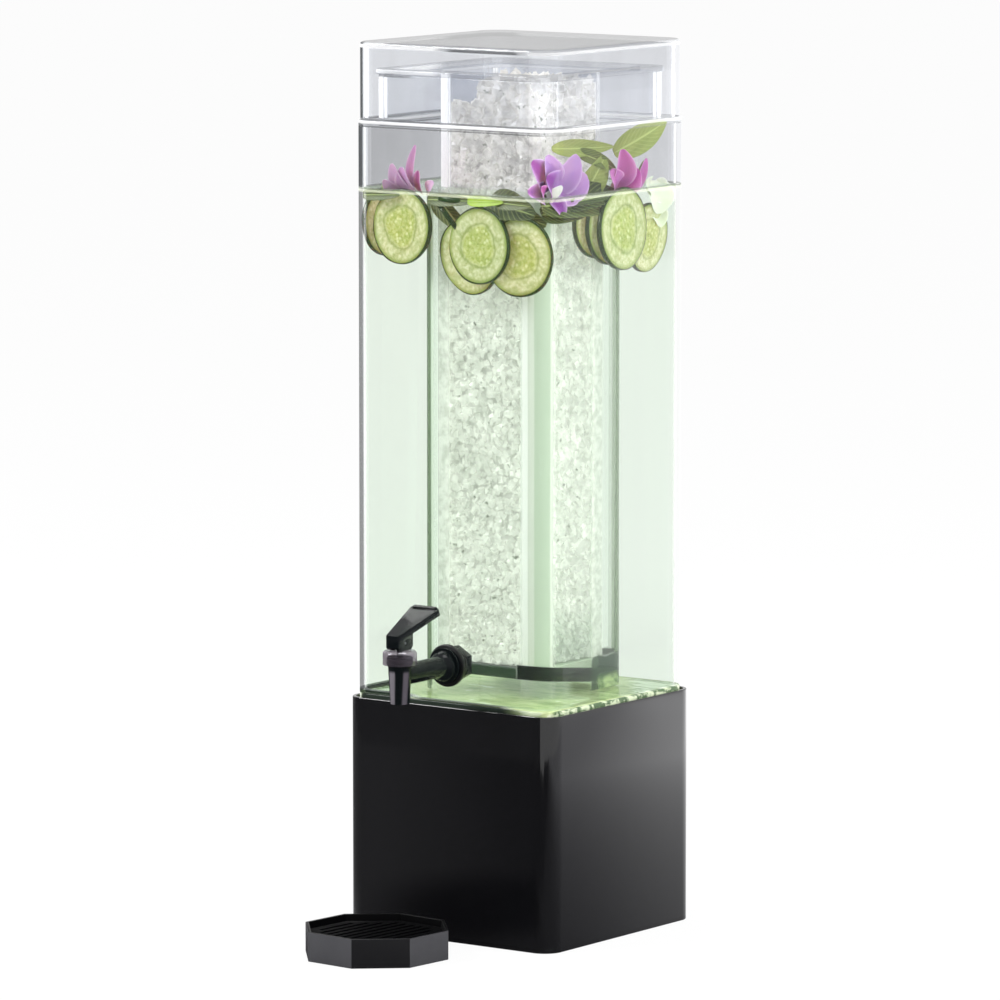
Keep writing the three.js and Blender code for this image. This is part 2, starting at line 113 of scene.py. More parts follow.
def put_mesh(name, points, faces, slot, body, replaced=(), flat=False, **values):
    """A mesh object in metres from points in millimetres, riding on a body. The values, one for each point,
    stay on the mesh for the materials: arc is the place round a corner, detail a pattern's own x y z, and
    tone a shade."""
    mesh = filled_mesh(name, np.asarray(points, float) * MM, faces)
    mesh.polygons.foreach_set("use_smooth", np.full(len(mesh.polygons), not flat))
    for label, numbers in values.items():
        three = label == "detail"
        layer = mesh.attributes.new(label, "FLOAT_VECTOR" if three else "FLOAT", "POINT")
        layer.data.foreach_set("vector" if three else "value", np.asarray(numbers, np.float32).ravel())
    mesh.update()
    return attach(placed(name, mesh), body, replaced)


def grid_quads(rows, cols, wrap_rows=False, wrap_cols=True):
    """Quads between neighbouring rows and columns of a grid of points, as one array."""
    r = np.arange(rows if wrap_rows else rows - 1)
    c = np.arange(cols if wrap_cols else cols - 1)
    r, c = np.meshgrid(r, c, indexing="ij")
    r2, c2 = (r + 1) % rows, (c + 1) % cols
    return np.stack([r * cols + c, r * cols + c2, r2 * cols + c2, r2 * cols + c], -1).reshape(-1, 4)


def end_fans(rows, cols):
    """Triangles that close a grid's first and last row. Each fan runs to a middle point, and the two middle
    points come after the grid's own."""
    c, last = np.arange(cols), (rows - 1) * cols
    after = (c + 1) % cols
    return (np.stack([np.full(cols, rows * cols), after, c], -1),
            np.stack([np.full(cols, rows * cols + 1), last + c, last + after], -1))


def filleted(corners, radii, closed=True, steps=4):
    """A polygon's points with each corner replaced by an arc of its radius, touching both sides."""
    corners = np.asarray(corners, float)
    count, out = len(corners), []
    for k in range(count):
        here, radius = corners[k], radii[k]
        if radius <= 0 or (not closed and k in (0, count - 1)):
            out.append(here[None])
            continue
        before = corners[k - 1] - here
        after = corners[(k + 1) % count] - here
        u, v = before / np.linalg.norm(before), after / np.linalg.norm(after)
        half = math.acos(np.clip(u @ v, -1, 1)) / 2
        middle = here + (u + v) / np.linalg.norm(u + v) * radius / math.sin(half)
        reach = radius / math.tan(half)
        a, b = here + u * reach - middle, here + v * reach - middle
        t = np.linspace(0, 1, steps + 1)[:, None]
        swing = math.pi - 2 * half
        arc = (np.sin((1 - t) * swing) * a + np.sin(t * swing) * b) / math.sin(swing)
        out.append(middle + arc)
    return np.concatenate(out)


def rounded_square(half, corner, steps):
    """Corner centres, directions and arc places of a rounded square, counter-clockwise. A point at inset d
    is centre + (corner - d) * direction. The arc place goes from 0 to 1 round each corner, and one more
    point lies on the straight side just before the corner and just after it."""
    margin, quarter = 1.2, math.pi / 2
    arcs = np.concatenate([[0], np.linspace(0, 1, steps + 1), [1]])
    starts = np.arange(4)[:, None] * quarter
    angles = starts + arcs * quarter
    directions = np.stack([np.cos(angles), np.sin(angles)], -1)
    along = np.stack([-np.sin(angles), np.cos(angles)], -1)
    slide = np.concatenate([[-margin], np.zeros(steps + 1), [margin]])[:, None]
    diagonal = starts + quarter / 2
    middles = (half - corner) * math.sqrt(2) * np.stack([np.cos(diagonal), np.sin(diagonal)], -1)
    return (middles + slide * along).reshape(-1, 2), directions.reshape(-1, 2), np.tile(arcs, 4)


def lofted(profile, shape, steps):
    """Every profile point (inset, height) carried round a rounded square: centre + (corner - inset) *
    direction. Gives the grid of points and, for each, its place round its corner."""
    centres, directions, arcs = rounded_square(shape["half"], shape["corner"], steps)
    radius = np.maximum(shape["corner"] - profile[:, 0], 0.05)[:, None, None]
    flat = centres[None] + radius * directions[None]
    height = np.broadcast_to(profile[:, 1][:, None, None], flat.shape[:2] + (1,))
    return np.concatenate([flat, height], -1), np.tile(arcs, len(profile))


def ring_piece(name, shape, profile, slot, body, replaced=(), steps=16):
    """A closed wall: a closed profile of (inset, height) carried round a rounded square."""
    points, arc = lofted(profile, shape, steps)
    quads = grid_quads(*points.shape[:2], wrap_rows=True)
    return put_mesh(name, points.reshape(-1, 3), [quads], slot, body, replaced, arc=arc)


def plate_piece(name, shape, low, high, soft, slot, body, replaced=(), steps=16):
    """A closed slab: an open profile up its edge, with its two corners rounded by soft, and a fan to a
    middle point on each face."""
    inset = 12.0
    corners = [(inset, low), (0.0, low), (0.0, high), (inset, high)]
    points, arc = lofted(filleted(corners, [0, *soft, 0], closed=False), shape, steps)
    rows, cols = points.shape[:2]
    points = np.vstack([points.reshape(-1, 3), [[0, 0, low], [0, 0, high]]])
    return put_mesh(name, points, [grid_quads(rows, cols), *end_fans(rows, cols)], slot, body, replaced,
                    arc=np.append(arc, [0, 0]))


def wall_section(wall, low, high, soft, steps=3):
    """A wall's closed section: up the outside, over the rim, down the inside and back below. soft is one
    radius for its four corners, or one for each."""
    radii = soft if isinstance(soft, list) else [soft] * 4
    return filleted([(0, low), (0, high), (wall, high), (wall, low)], radii, steps=steps)


def softened(name, node, body, width):
    """A CAD solid's copy, merged and with its sharp edges rounded to a width."""
    merge_distance, flat_angle, sharp_angle = 1e-6, 1.0, 30.0
    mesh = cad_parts[node].data.copy()
    mesh.materials.clear()
    work = bmesh.new()
    work.from_mesh(mesh)
    bmesh.ops.remove_doubles(work, verts=work.verts, dist=merge_distance)
    bmesh.ops.dissolve_limit(work, angle_limit=math.radians(flat_angle), verts=work.verts, edges=work.edges)
    work.to_mesh(mesh)
    work.free()
    mesh.polygons.foreach_set("use_smooth", np.ones(len(mesh.polygons), bool))
    piece = placed(name, mesh)
    bevel = piece.modifiers.new("edges", "BEVEL")
    bevel.width, bevel.segments, bevel.limit_method = width * MM, 3, "ANGLE"
    bevel.angle_limit, bevel.harden_normals = math.radians(sharp_angle), True
    return attach(piece, body, [node])


def dress(piece, material):
    """The piece gets this one material."""
    piece.data.materials.clear()
    piece.data.materials.append(material)


# Material nodes
def srgb(r, g, b):
    """A colour in display steps of 0 to 255, as linear light."""
    c = np.array([r, g, b]) / 255
    return tuple(float(v) for v in np.where(c <= 0.04045, c / 12.92, ((c + 0.055) / 1.055) ** 2.4))


def toned(colour, factor):
    """A colour made darker or paler by a factor, up to white."""
    return tuple(min(v * factor, 1) for v in colour)


class Shader:
    """The nodes of a material, or of the world, with short calls for the kinds that these finishes use."""

    def __init__(self, name, world=False):
        self.owner = (bpy.data.worlds if world else bpy.data.materials).new(name)
        self.owner.use_nodes = True
        self.tree = self.owner.node_tree
        self.tree.nodes.clear()
        self.output = "OutputWorld" if world else "OutputMaterial"

    def node(self, kind, settings=None, **sockets):
        """Adds a node, sets its properties and links or sets its named sockets."""
        made = self.tree.nodes.new("ShaderNode" + kind)
        for key, value in (settings or {}).items():
            setattr(made, key, value)
        for key, value in sockets.items():
            self.feed(made.inputs[key.replace("_", " ")], value)
        return made

    def feed(self, socket, value):
        """A node, an output or a plain value goes into a socket."""
        if isinstance(value, bpy.types.Node):
            value = value.outputs[0]
        if isinstance(value, bpy.types.NodeSocket):
            self.tree.links.new(value, socket)
        elif isinstance(value, (tuple, list)) and len(value) == 3 and len(socket.default_value) == 4:
            socket.default_value = (*value, 1.0)
        else:
            socket.default_value = value

    def fill(self, made, first, *values):
        """Feeds a node's sockets in order, from the first one's number on."""
        for number, value in enumerate(values, first):
            self.feed(made.inputs[number], value)
        return made

    def finish(self, shader):
        """Sends the shader to the output."""
        self.node(self.output, Surface=shader)
        return self.owner

    # Where a point lies, and how its surface is turned
    def place(self):
        """The point's place in the object's frame, as x, y and z."""
        return self.node("TexCoord").outputs["Object"]

    def split(self, vector):
        """A vector's three parts."""
        return self.node("SeparateXYZ", Vector=vector).outputs

    def normal(self):
        """The three parts of the direction that the surface faces."""
        return self.split(self.node("NewGeometry").outputs["Normal"])

    def rightward(self, x, y):
        """How far x and y lie to the right, as seen from the photograph's side of the object."""
        return self.plus(self.times(x, TURN_COS), self.times(y, TURN_SIN))

    def across(self):
        """How far the point lies to the right, in metres, as seen from the photograph's side."""
        x, y, _ = self.split(self.place())
        return self.rightward(x, y)

    def away(self):
        """0 where the surface faces the eye, and 1 where it is seen edge on."""
        return self.node("LayerWeight", Blend=0.5).outputs["Facing"]

    def front(self):
        """1 on the outward side of the surface, and 0 on its back."""
        return self.less(self.node("NewGeometry").outputs["Backfacing"])

    def value(self, name):
        """A number stored on the mesh under a name."""
        return self.node("Attribute", dict(attribute_name=name)).outputs["Fac"]

    def vector(self, name):
        """A vector stored on the mesh under a name."""
        return self.node("Attribute", dict(attribute_name=name)).outputs["Vector"]

    # Arithmetic
    def math(self, operation, *values, clamp=False):
        """One arithmetic step."""
        return self.fill(self.node("Math", dict(operation=operation, use_clamp=clamp)), 0, *values).outputs[0]

    def plus(self, a, b, clamp=False):
        """The sum, held between 0 and 1 with clamp."""
        return self.math("ADD", a, b, clamp=clamp)

    def minus(self, a, b):
        """a less b."""
        return self.math("SUBTRACT", a, b)

    def less(self, value):
        """1 less the value."""
        return self.minus(1.0, value)

    def times(self, *values):
        """The values multiplied together."""
        total = values[0]
        for value in values[1:]:
            total = self.math("MULTIPLY", total, value)
        return total

    def size(self, value):
        """The value without its sign."""
        return self.math("ABSOLUTE", value)

    def length(self, x, y):
        """The distance that x and y make together."""
        return self.math("SQRT", self.plus(self.times(x, x), self.times(y, y)))

    def step(self, value, low, high, smooth=True):
        """0 below low and 1 above high, with a smooth rise between them. With low above high, it falls."""
        made = self.node("MapRange", dict(interpolation_type="SMOOTHSTEP" if smooth else "LINEAR"))
        return self.fill(made, 0, value, low, high).outputs["Result"]

    # Colours, patterns and surfaces
    def mix(self, share, a, b, blend="MIX"):
        """Colour a turning into colour b."""
        made = self.node("Mix", dict(data_type="RGBA", blend_type=blend))
        self.feed(made.inputs[0], share)
        return self.fill(made, 6, a, b).outputs[2]

    def noise(self, vector, scale, detail=3.0, rough=0.5, warp=0.0):
        """Cloudy noise between 0 and 1."""
        return self.node("TexNoise", Vector=vector, Scale=scale, Detail=detail, Roughness=rough,
                         Distortion=warp).outputs["Fac"]

    def stretched(self, vector, *scale, turn=(0, 0, 0)):
        """A pattern's place, scaled along each axis and turned."""
        return self.node("Mapping", Vector=vector, Scale=scale, Rotation=turn)

    def bump(self, height, strength, distance):
        """A bumped normal from a height."""
        return self.node("Bump", Height=height, Strength=strength, Distance=distance).outputs["Normal"]

    def skin(self, colour, roughness, **sockets):
        """An opaque surface."""
        return self.node("BsdfPrincipled", Base_Color=colour, Roughness=roughness, **sockets)

    def both(self, share, first, second):
        """The first surface turning into the second."""
        return self.fill(self.node("MixShader", Fac=share), 1, first, second)

    def glossy_clear(self, share, tint, colour, roughness, **sockets):
        """What is behind shows through a tint, under a share of mirror gloss."""
        gloss = self.node("BsdfAnisotropic", Color=colour, Roughness=roughness, **sockets)
        return self.both(share, self.node("BsdfTransparent", Color=tint), gloss)


# Clear acrylic
WET = (0.99, 0.993, 0.99)
# The white is the colour of painted highlights, and the grey that of painted dark lines, on the clear walls
PAINTED_HIGHLIGHT, PAINTED_SHADE = (0.97, 0.97, 0.97), srgb(70, 72, 74)
OUTER, INNER = True, False
LEFT_END, RIGHT_END = -150, 150  # past both ends of the object, for marks that run to its edge


def grey(level):
    """A cool grey tint."""
    return level * 0.991, level * 0.996, min(level * 1.008, 1.0)


def inside_corners(s, shape, soft, shift=(0.0, 0.0)):
    """1 where a point lies in one of the four rounded corners, and how far it is from that corner's axis."""
    x, y, _ = s.split(s.place())
    reach = (shape["half"] - shape["corner"]) * MM
    dx = s.minus(s.size(s.minus(x, shift[0] * MM)), reach)
    dy = s.minus(s.size(s.minus(y, shift[1] * MM)), reach)
    return s.step(s.math("MINIMUM", dx, dy), -soft * MM, soft * MM), s.length(dx, dy)


class Paint:
    """Marks on a clear wall, mostly painted highlights and painted shade: a colour, and how solid it is
    there.
    """

    def __init__(self, s, colour, share):
        self.s, self.colour, self.share = s, colour, share

    def lay(self, mask, colour, strength):
        """A mark that takes the place of what is under it, where mask is 1."""
        self.share = self.s.times(self.share, self.s.less(mask))
        self.add(mask, colour, strength)

    def add(self, mask, colour, strength):
        """A mark that is at least as solid as what is under it."""
        self.colour = self.s.mix(mask, self.colour, colour)
        self.share = self.s.math("MAXIMUM", self.share, self.s.times(mask, strength))


def clear_acrylic(name, shape, wall, dry, lines, levels, wet=WET, top=None):
    """Thin clear plastic: what is behind shows through a tint, and gloss grows towards grazing angles.
    The tint is wet below the drink's surface. Above it, dry gives grey levels for the left, the middle, the
    right and the rounded corners, and top one for a level top: painted shade that differs by side and face.
    lines are painted highlights and painted dark streaks where a rounded corner turns away from the eye: on
    its outer or inner face, at which side, where they start and end, their colour, and how solid they are
    dry and wet.
    levels are painted bands between two heights, such as highlights and dark lines along edges: low, high,
    softness, the span from left to right or None, the colour, and how solid it is."""
    haze, gloss, edge_gloss, span_soft = 0.008, 0.05, 0.9, 8
    s = Shader(name)
    z = s.split(s.place())[2]
    above = s.step(z, (WATER_Z - 0.6) * MM, (WATER_Z + 0.6) * MM)
    across, away, level_face = s.across(), s.away(), s.size(s.normal()[2])
    upright = s.step(level_face, 0.9, 0.7)
    in_corner, from_axis = inside_corners(s, shape, 0.5)
    in_corner = s.times(in_corner, upright)
    outer = s.step(from_axis, (shape["corner"] - wall * 0.6) * MM, (shape["corner"] - wall * 0.4) * MM)

    streak = s.noise(s.stretched(s.place(), 1, 1, 0.03), 55.0, 2.0)
    cloud = s.noise(s.place(), 14.0)
    vary = s.step(s.plus(s.times(streak, 0.5), s.times(cloud, 0.5)), 0.35, 0.65)
    # painted shade: grey levels that differ from left to right and in the corners
    left, middle, right, at_corner = (grey(level) for level in dry)
    side = s.mix(s.step(across, -0.100, -0.045), left, s.mix(s.step(across, -0.02, 0.07), middle, right))
    tint = s.mix(above, wet, s.mix(vary, s.mix(0.12, side, toned(middle, 0.75)), side))
    # painted shade: one grey for a level top
    if top is not None:
        tint = s.mix(s.step(level_face, 0.7, 0.95), tint, grey(top))
    tint = s.mix(in_corner, tint, s.mix(above, wet, at_corner))

    paint = Paint(s, srgb(228, 232, 236), haze)
    # painted highlights and painted dark streaks in the rounded corners
    for face, where, start, end, colour, if_dry, if_wet in lines:
        at_side = 1.0 if where == "both" else s.step(across, 0.0, dict(left=-0.02, right=0.02)[where])
        on_face = outer if face == OUTER else s.less(outer)
        mask = s.times(s.step(away, start, end), in_corner, on_face, at_side)
        paint.lay(mask, colour, s.plus(s.times(above, if_dry - if_wet), if_wet))
    # painted bands between two heights: highlights and dark lines along edges
    for low, high, soft, span, colour, strength in levels:
        mask = s.times(s.step(z, (low - soft) * MM, (low + soft) * MM),
                       s.step(z, (high + soft) * MM, (high - soft) * MM))
        if span is not None:
            mask = s.times(mask, s.step(across, (span[0] - span_soft) * MM, (span[0] + span_soft) * MM),
                           s.step(across, (span[1] + span_soft) * MM, (span[1] - span_soft) * MM))
        paint.lay(s.times(mask, upright), colour, strength)

    shine = s.plus(gloss, s.times(s.math("POWER", away, 5.0), edge_gloss))
    calm = s.less(s.times(in_corner, 0.85))
    share = s.math("MULTIPLY", s.times(s.front(), calm), shine, clamp=True)
    clear = s.glossy_clear(share, tint, (1, 1, 1), 0.05)
    return s.finish(s.both(paint.share, clear, s.node("BsdfDiffuse", Color=paint.colour)))


def tank_material():
    """The tank's walls: a painted grey streak of shade at the left corner and painted highlight streaks
    inside, a painted dark line over a painted pale highlight at the drink's surface, and painted dark
    shade at the foot on the left."""
    # the colour of the painted shade at the tank's foot
    foot = srgb(36, 46, 38)
    return clear_acrylic(
        "tank_acrylic", TANK, TANK_WALL, (0.84, 0.89, 0.905, 0.965),
        lines=[(OUTER, "left", 0.30, 0.50, PAINTED_SHADE, 0.85, 0.5),
               (INNER, "left", 0.4, 0.7, PAINTED_HIGHLIGHT, 0.5, 0.25),
               (INNER, "right", 0.4, 0.7, PAINTED_HIGHLIGHT, 0.7, 0.25)],
        # painted bands: a dark line and a pale highlight at the drink's surface, and dark shade at the foot
        levels=[(562.4, 563.6, 0.3, None, srgb(112, 122, 100), 0.45),
                (560.4, 562.2, 0.4, None, srgb(225, 232, 205), 0.3),
                (178.0, 184.2, 0.5, (LEFT_END, -80), foot, 0.85),
                (178.0, 182.4, 0.5, (-80, -10), foot, 0.8)])


def frame_material():
    """The shoulder and the ice chamber's flange: painted highlights along their edges, over a painted dark
    line at the left, and a painted dark streak in the left corner.
    """
    return clear_acrylic(
        "shoulder_acrylic", TANK, TANK_WALL, (0.85, 0.88, 0.9, 0.95),
        lines=[(OUTER, "left", 0.30, 0.50, PAINTED_SHADE, 0.8, 0.3)],
        levels=[(608.8, 610.4, 0.4, (LEFT_END, 20), PAINTED_SHADE, 0.5),
                (611.6, 613.8, 0.5, None, PAINTED_HIGHLIGHT, 0.45),
                (649.0, 652.2, 0.4, (LEFT_END, -60), PAINTED_HIGHLIGHT, 0.5)])


def neck_material():
    """The neck: painted white highlight streaks in its corners, and painted dark shade at its foot and rim at
    the left.
    """
    return clear_acrylic(
        "neck_acrylic", NECK, TANK_WALL, (0.995, 0.98, 0.96, 0.985),
        lines=[(OUTER, "both", 0.25, 0.5, PAINTED_HIGHLIGHT, 0.8, 0.3),
               (INNER, "both", 0.3, 0.5, PAINTED_HIGHLIGHT, 0.6, 0.3)],
        levels=[(613.0, 615.0, 0.5, (LEFT_END, -80), PAINTED_SHADE, 0.35),
                (646.0, 648.5, 0.5, (LEFT_END, -80), PAINTED_SHADE, 0.35)])


def lid_material():
    """The lid: a painted grey shade on its top, painted highlight and shade streaks in its corners, a painted
    dark foot, and a rim with painted highlights at both ends and painted shade in the middle."""
    return clear_acrylic(
        "lid_acrylic", LID, LID_WALL, (0.95, 0.95, 0.95, 0.98), top=0.66,
        lines=[(OUTER, "left", 0.45, 0.6, PAINTED_SHADE, 0.8, 0.3),
               (INNER, "left", 0.3, 0.6, PAINTED_HIGHLIGHT, 0.7, 0.3),
               (INNER, "right", 0.3, 0.6, PAINTED_HIGHLIGHT, 0.7, 0.3)],
        levels=[(613.5, 615.2, 0.4, (LEFT_END, 40), PAINTED_SHADE, 0.35),
                (668.2, 670.6, 0.5, (LEFT_END, -58), PAINTED_HIGHLIGHT, 0.45),
                (667.8, 670.4, 0.6, (-58, 2), PAINTED_SHADE, 0.7),
                (668.2, 670.6, 0.5, (2, RIGHT_END), PAINTED_HIGHLIGHT, 0.35)])


def tube_material():
    """The ice tube: painted white highlight streaks in its dry corners, and a painted dark green band of
    shade at its foot.
    """
    return clear_acrylic(
        "ice_tube_acrylic", TUBE, TUBE_WALL, (0.975, 0.975, 0.975, 0.99), wet=(0.99, 1.0, 0.99),
        lines=[(OUTER, "left", 0.2, 0.35, PAINTED_HIGHLIGHT, 0.9, 0.05),
               (INNER, "left", 0.2, 0.4, PAINTED_HIGHLIGHT, 0.8, 0.05),
               (OUTER, "right", 0.3, 0.6, PAINTED_HIGHLIGHT, 0.3, 0.0)],
        levels=[(194.0, 204.6, 0.4, (LEFT_END, 14), srgb(40, 58, 43), 0.95)])


def make_shells():
    """Every clear wall and plate of the tank, the neck, the ice chamber and the lid, with softened edges.
    Clear walls throw no shadow."""
    tank, frames, neck = tank_material(), frame_material(), neck_material()
    lid, tube = lid_material(), tube_material()
    shoulder = wall_section(SHOULDER_FRAME, SHOULDER_Z, NECK_Z, [0.05, 1.2, 0.8, 0.6], steps=4)
    flange = wall_section(FLANGE_FRAME, FLANGE_Z, FLANGE_TOP_Z, 0.8, steps=4)
    rings = [
        ("tank_walls", TANK, wall_section(TANK_WALL, FLOOR_Z, SHOULDER_Z, 0.05), "container",
         "container_walls", 16, tank),
        ("tank_shoulder", TANK, shoulder, "container", "container_shoulder", 16, frames),
        ("tank_neck", NECK, wall_section(TANK_WALL, NECK_Z, FLANGE_Z, 0.8), "container",
         "container_neck", 14, neck),
        ("ice_tube_wall", TUBE, wall_section(TUBE_WALL, TUBE_FLOOR_Z, FLANGE_Z, 0.05), "ice_chamber",
         "ice_tube", 14, tube),
        ("ice_flange", FLANGE, flange, "ice_chamber", "ice_chamber_flange", 14, frames),
        ("lid_walls", LID, wall_section(LID_WALL, NECK_Z, LID_PLATE_Z, 0.05), "lid", "lid_skirt", 16, lid),
    ]
    made = [(ring_piece(name, shape, profile, "clear_acrylic", body, [node], steps), material)
            for name, shape, profile, body, node, steps, material in rings]
    made.append((plate_piece("lid_top", LID, LID_PLATE_Z, TOP_Z, (0.05, 2.2), "clear_acrylic", "lid",
                             ["lid_top_plate"]), lid))
    for piece, material in made:
        dress(piece, material)
        piece.visible_shadow = False


# Solid plastics and the base box
def solid_plastic(name, colour, roughness, grain, grain_depth, coat=0.0, spec=0.5, streak_colour=None):
    """Opaque moulded or cast plastic: faint cloudy colour, polish that varies, and a fine skin. Given a
    streak colour, faint upright streaks of that colour."""
    s = Shader(name)
    place = s.place()
    cloud = s.noise(place, 18.0, 4.0)
    base = s.mix(cloud, toned(colour, 0.85), toned(colour, 1.15))
    if streak_colour is not None:
        upright_streak = s.step(s.noise(s.stretched(place, 1, 1, 0.2), 140.0, 5.0, 0.7), 0.62, 0.8)
        base = s.mix(s.times(upright_streak, 0.25), base, streak_colour)
    rough = s.plus(roughness, s.times(s.minus(cloud, 0.5), roughness * 0.8))
    return s.finish(s.skin(base, rough, Specular_IOR_Level=spec, Coat_Weight=coat, Coat_Roughness=0.04,
                           Normal=s.bump(s.noise(place, grain), 0.15, grain_depth)))


def make_base():
    """The riser box: four walls that rise as a rim round the tank's foot, and its top and bottom plates."""
    square = 0.0001  # an edge that stays sharp
    section = wall_section(BASE_WALL, BASE_PLATE_Z, RIM_Z, [square, 0.5, 0.3, square])
    slot, body = "black_acrylic", "base"
    pieces = [
        ring_piece("base_box_walls", BASE, section, slot, body, ["base_walls"]),
        plate_piece("base_box_top", SEAT, FOOT_Z - SEAT_PLATE, FOOT_Z, (square, square), slot, body,
                    ["base_top_plate"]),
        plate_piece("base_box_foot", BASE, 0.0, BASE_PLATE_Z, (0.6, square), slot, body,
                    ["base_bottom_plate"]),
    ]
    black = solid_plastic("cast_black_acrylic", srgb(10, 10, 12), 0.09, 900.0, 0.00001, coat=1.0)
    for piece in pieces:
        dress(piece, black)


# Tap, tray and grate
def smoke_material():
    """Smoke-coloured clear plastic, a little dusty, seen through and glossy towards grazing angles."""
    smoke, gloss, edge_gloss, dust = srgb(205, 196, 206), 0.10, 0.8, 0.05
    s = Shader("smoke_clear_plastic")
    tint = s.mix(s.noise(s.place(), 90.0), toned(smoke, 0.85), smoke)
    share = s.math("MULTIPLY", s.front(), s.plus(gloss, s.times(s.math("POWER", s.away(), 4.0), edge_gloss)),
                   clamp=True)
    clear = s.glossy_clear(share, tint, (0.9, 0.9, 0.95), 0.06)
    return s.finish(s.both(dust, clear, s.node("BsdfDiffuse", Color=srgb(170, 160, 172))))


def tap_body_material():
    """The tap's black plastic. Its upright spout carries two painted highlights, soft grey streaks left and
    right of the middle, as two tall windows of light would draw them."""
    s = Shader("tap_body_plastic")
    _, y, z = s.split(s.place())
    nx, ny, nz = s.normal()
    turn = s.rightward(nx, ny)
    cloud = s.noise(s.place(), 60.0, 4.0)
    # painted highlights: two soft grey streaks on the spout, left and right of the middle
    left = s.times(s.step(turn, -0.97, -0.80), s.step(turn, -0.35, -0.55))
    right = s.times(s.step(turn, 0.15, 0.40), s.step(turn, 0.85, 0.62))
    spout = s.times(s.step(z, 0.214, 0.211), s.step(s.size(nz), 0.5, 0.2), s.step(y, -0.138, -0.142))
    colour = s.mix(cloud, srgb(8, 11, 12), srgb(16, 21, 23))
    colour = s.mix(s.times(left, spout, 0.65), colour, srgb(122, 117, 124))
    colour = s.mix(s.times(right, spout, 0.6), colour, srgb(96, 90, 98))
    return s.finish(s.skin(colour, s.plus(0.12, s.times(cloud, 0.08)), Specular_IOR_Level=0.2,
                           Normal=s.bump(s.noise(s.place(), 700.0), 0.15, 0.00002)))


def from_tray(s, x, y):
    """How far a point lies from the tray's middle, along x and along y."""
    return s.minus(x, TRAY_CENTRE[0] * MM), s.minus(y, TRAY_CENTRE[1] * MM)


def tray_material():
    """Satin tray: grey-black outside, with painted shade on the side that faces the eye, and painted shade
    that makes the inside of the pan dead black.
    """
    s = Shader("satin_tray_plastic")
    x, y, _ = s.split(s.place())
    nx, ny, _ = s.normal()
    dx, dy = from_tray(s, x, y)
    outside = s.step(s.plus(s.times(dx, nx), s.times(dy, ny)), 0.030, 0.036)
    cloud = s.noise(s.place(), 40.0, 4.0)
    skin = s.mix(cloud, srgb(58, 58, 61), srgb(72, 72, 75))
    # painted shade: darker where the side faces the eye, and dead black inside the pan
    facing = s.minus(s.times(nx, TURN_SIN), s.times(ny, TURN_COS))
    skin = s.mix(s.step(facing, 0.80, 0.95), skin, srgb(26, 26, 28))
    return s.finish(s.skin(s.mix(outside, srgb(2, 2, 3), skin), s.plus(0.3, s.times(cloud, 0.15)),
                           Specular_IOR_Level=0.12, Normal=s.bump(s.noise(s.place(), 900.0), 0.15, 0.00003)))


def make_tap():
    """The tap's parts, the tray and its grate: the solids' own shapes with their edges rounded."""
    black = solid_plastic("moulded_black_plastic", srgb(9, 13, 15), 0.14, 700.0, 0.00002, coat=0.2, spec=0.3,
                          streak_colour=srgb(36, 46, 50))
    grate = solid_plastic("dull_black_grate", srgb(2, 2, 3), 0.7, 500.0, 0.00004, spec=0.04)
    rubber = solid_plastic("black_silicone", srgb(15, 16, 17), 0.42, 600.0, 0.00005)
    steel = solid_plastic("pin_steel", srgb(84, 85, 88), 0.35, 400.0, 0.00002)
    parts = [
        ("tap_moulding", "tap_body", "black_plastic", "container", 0.5, tap_body_material()),
        ("tap_washer_outside", "tap_outer_washer", "silicone", "container", 0.8, rubber),
        ("tap_washer_inside", "tap_inner_washer", "silicone", "container", 0.6, rubber),
        ("tap_nut", "tap_lock_nut", "black_plastic", "container", 0.5, black),
        ("tap_cap", "tap_bonnet", "smoke_plastic", "container", 0.35, smoke_material()),
        ("diaphragm", "stem_diaphragm", "silicone", "container", 0.2, rubber),
        ("stem_rod", "valve_stem", "black_plastic", "valve", 0.25, black),
        ("seat_plug", "seat_cup", "silicone", "valve", 0.5, rubber),
        ("lever_axle", "lever_pin", "steel", "valve", 0.15, steel),
        ("lever_paddle", "tap_lever", "black_plastic", "lever", 0.8, black),
        ("tray_pan", "drip_tray_pan", "tray_plastic", "drip_tray", 0.35, tray_material()),
        ("tray_grate", "drip_grate", "tray_plastic", "grate", 0.3, grate),
    ]
    for name, node, slot, body, width, material in parts:
        piece = softened(name, node, body, width)
        dress(piece, material)
        # the tray and grate are hidden from reflections, and the floor paints the tray's dark reflection
        # instead
        if slot == "tray_plastic":
            piece.visible_glossy = False


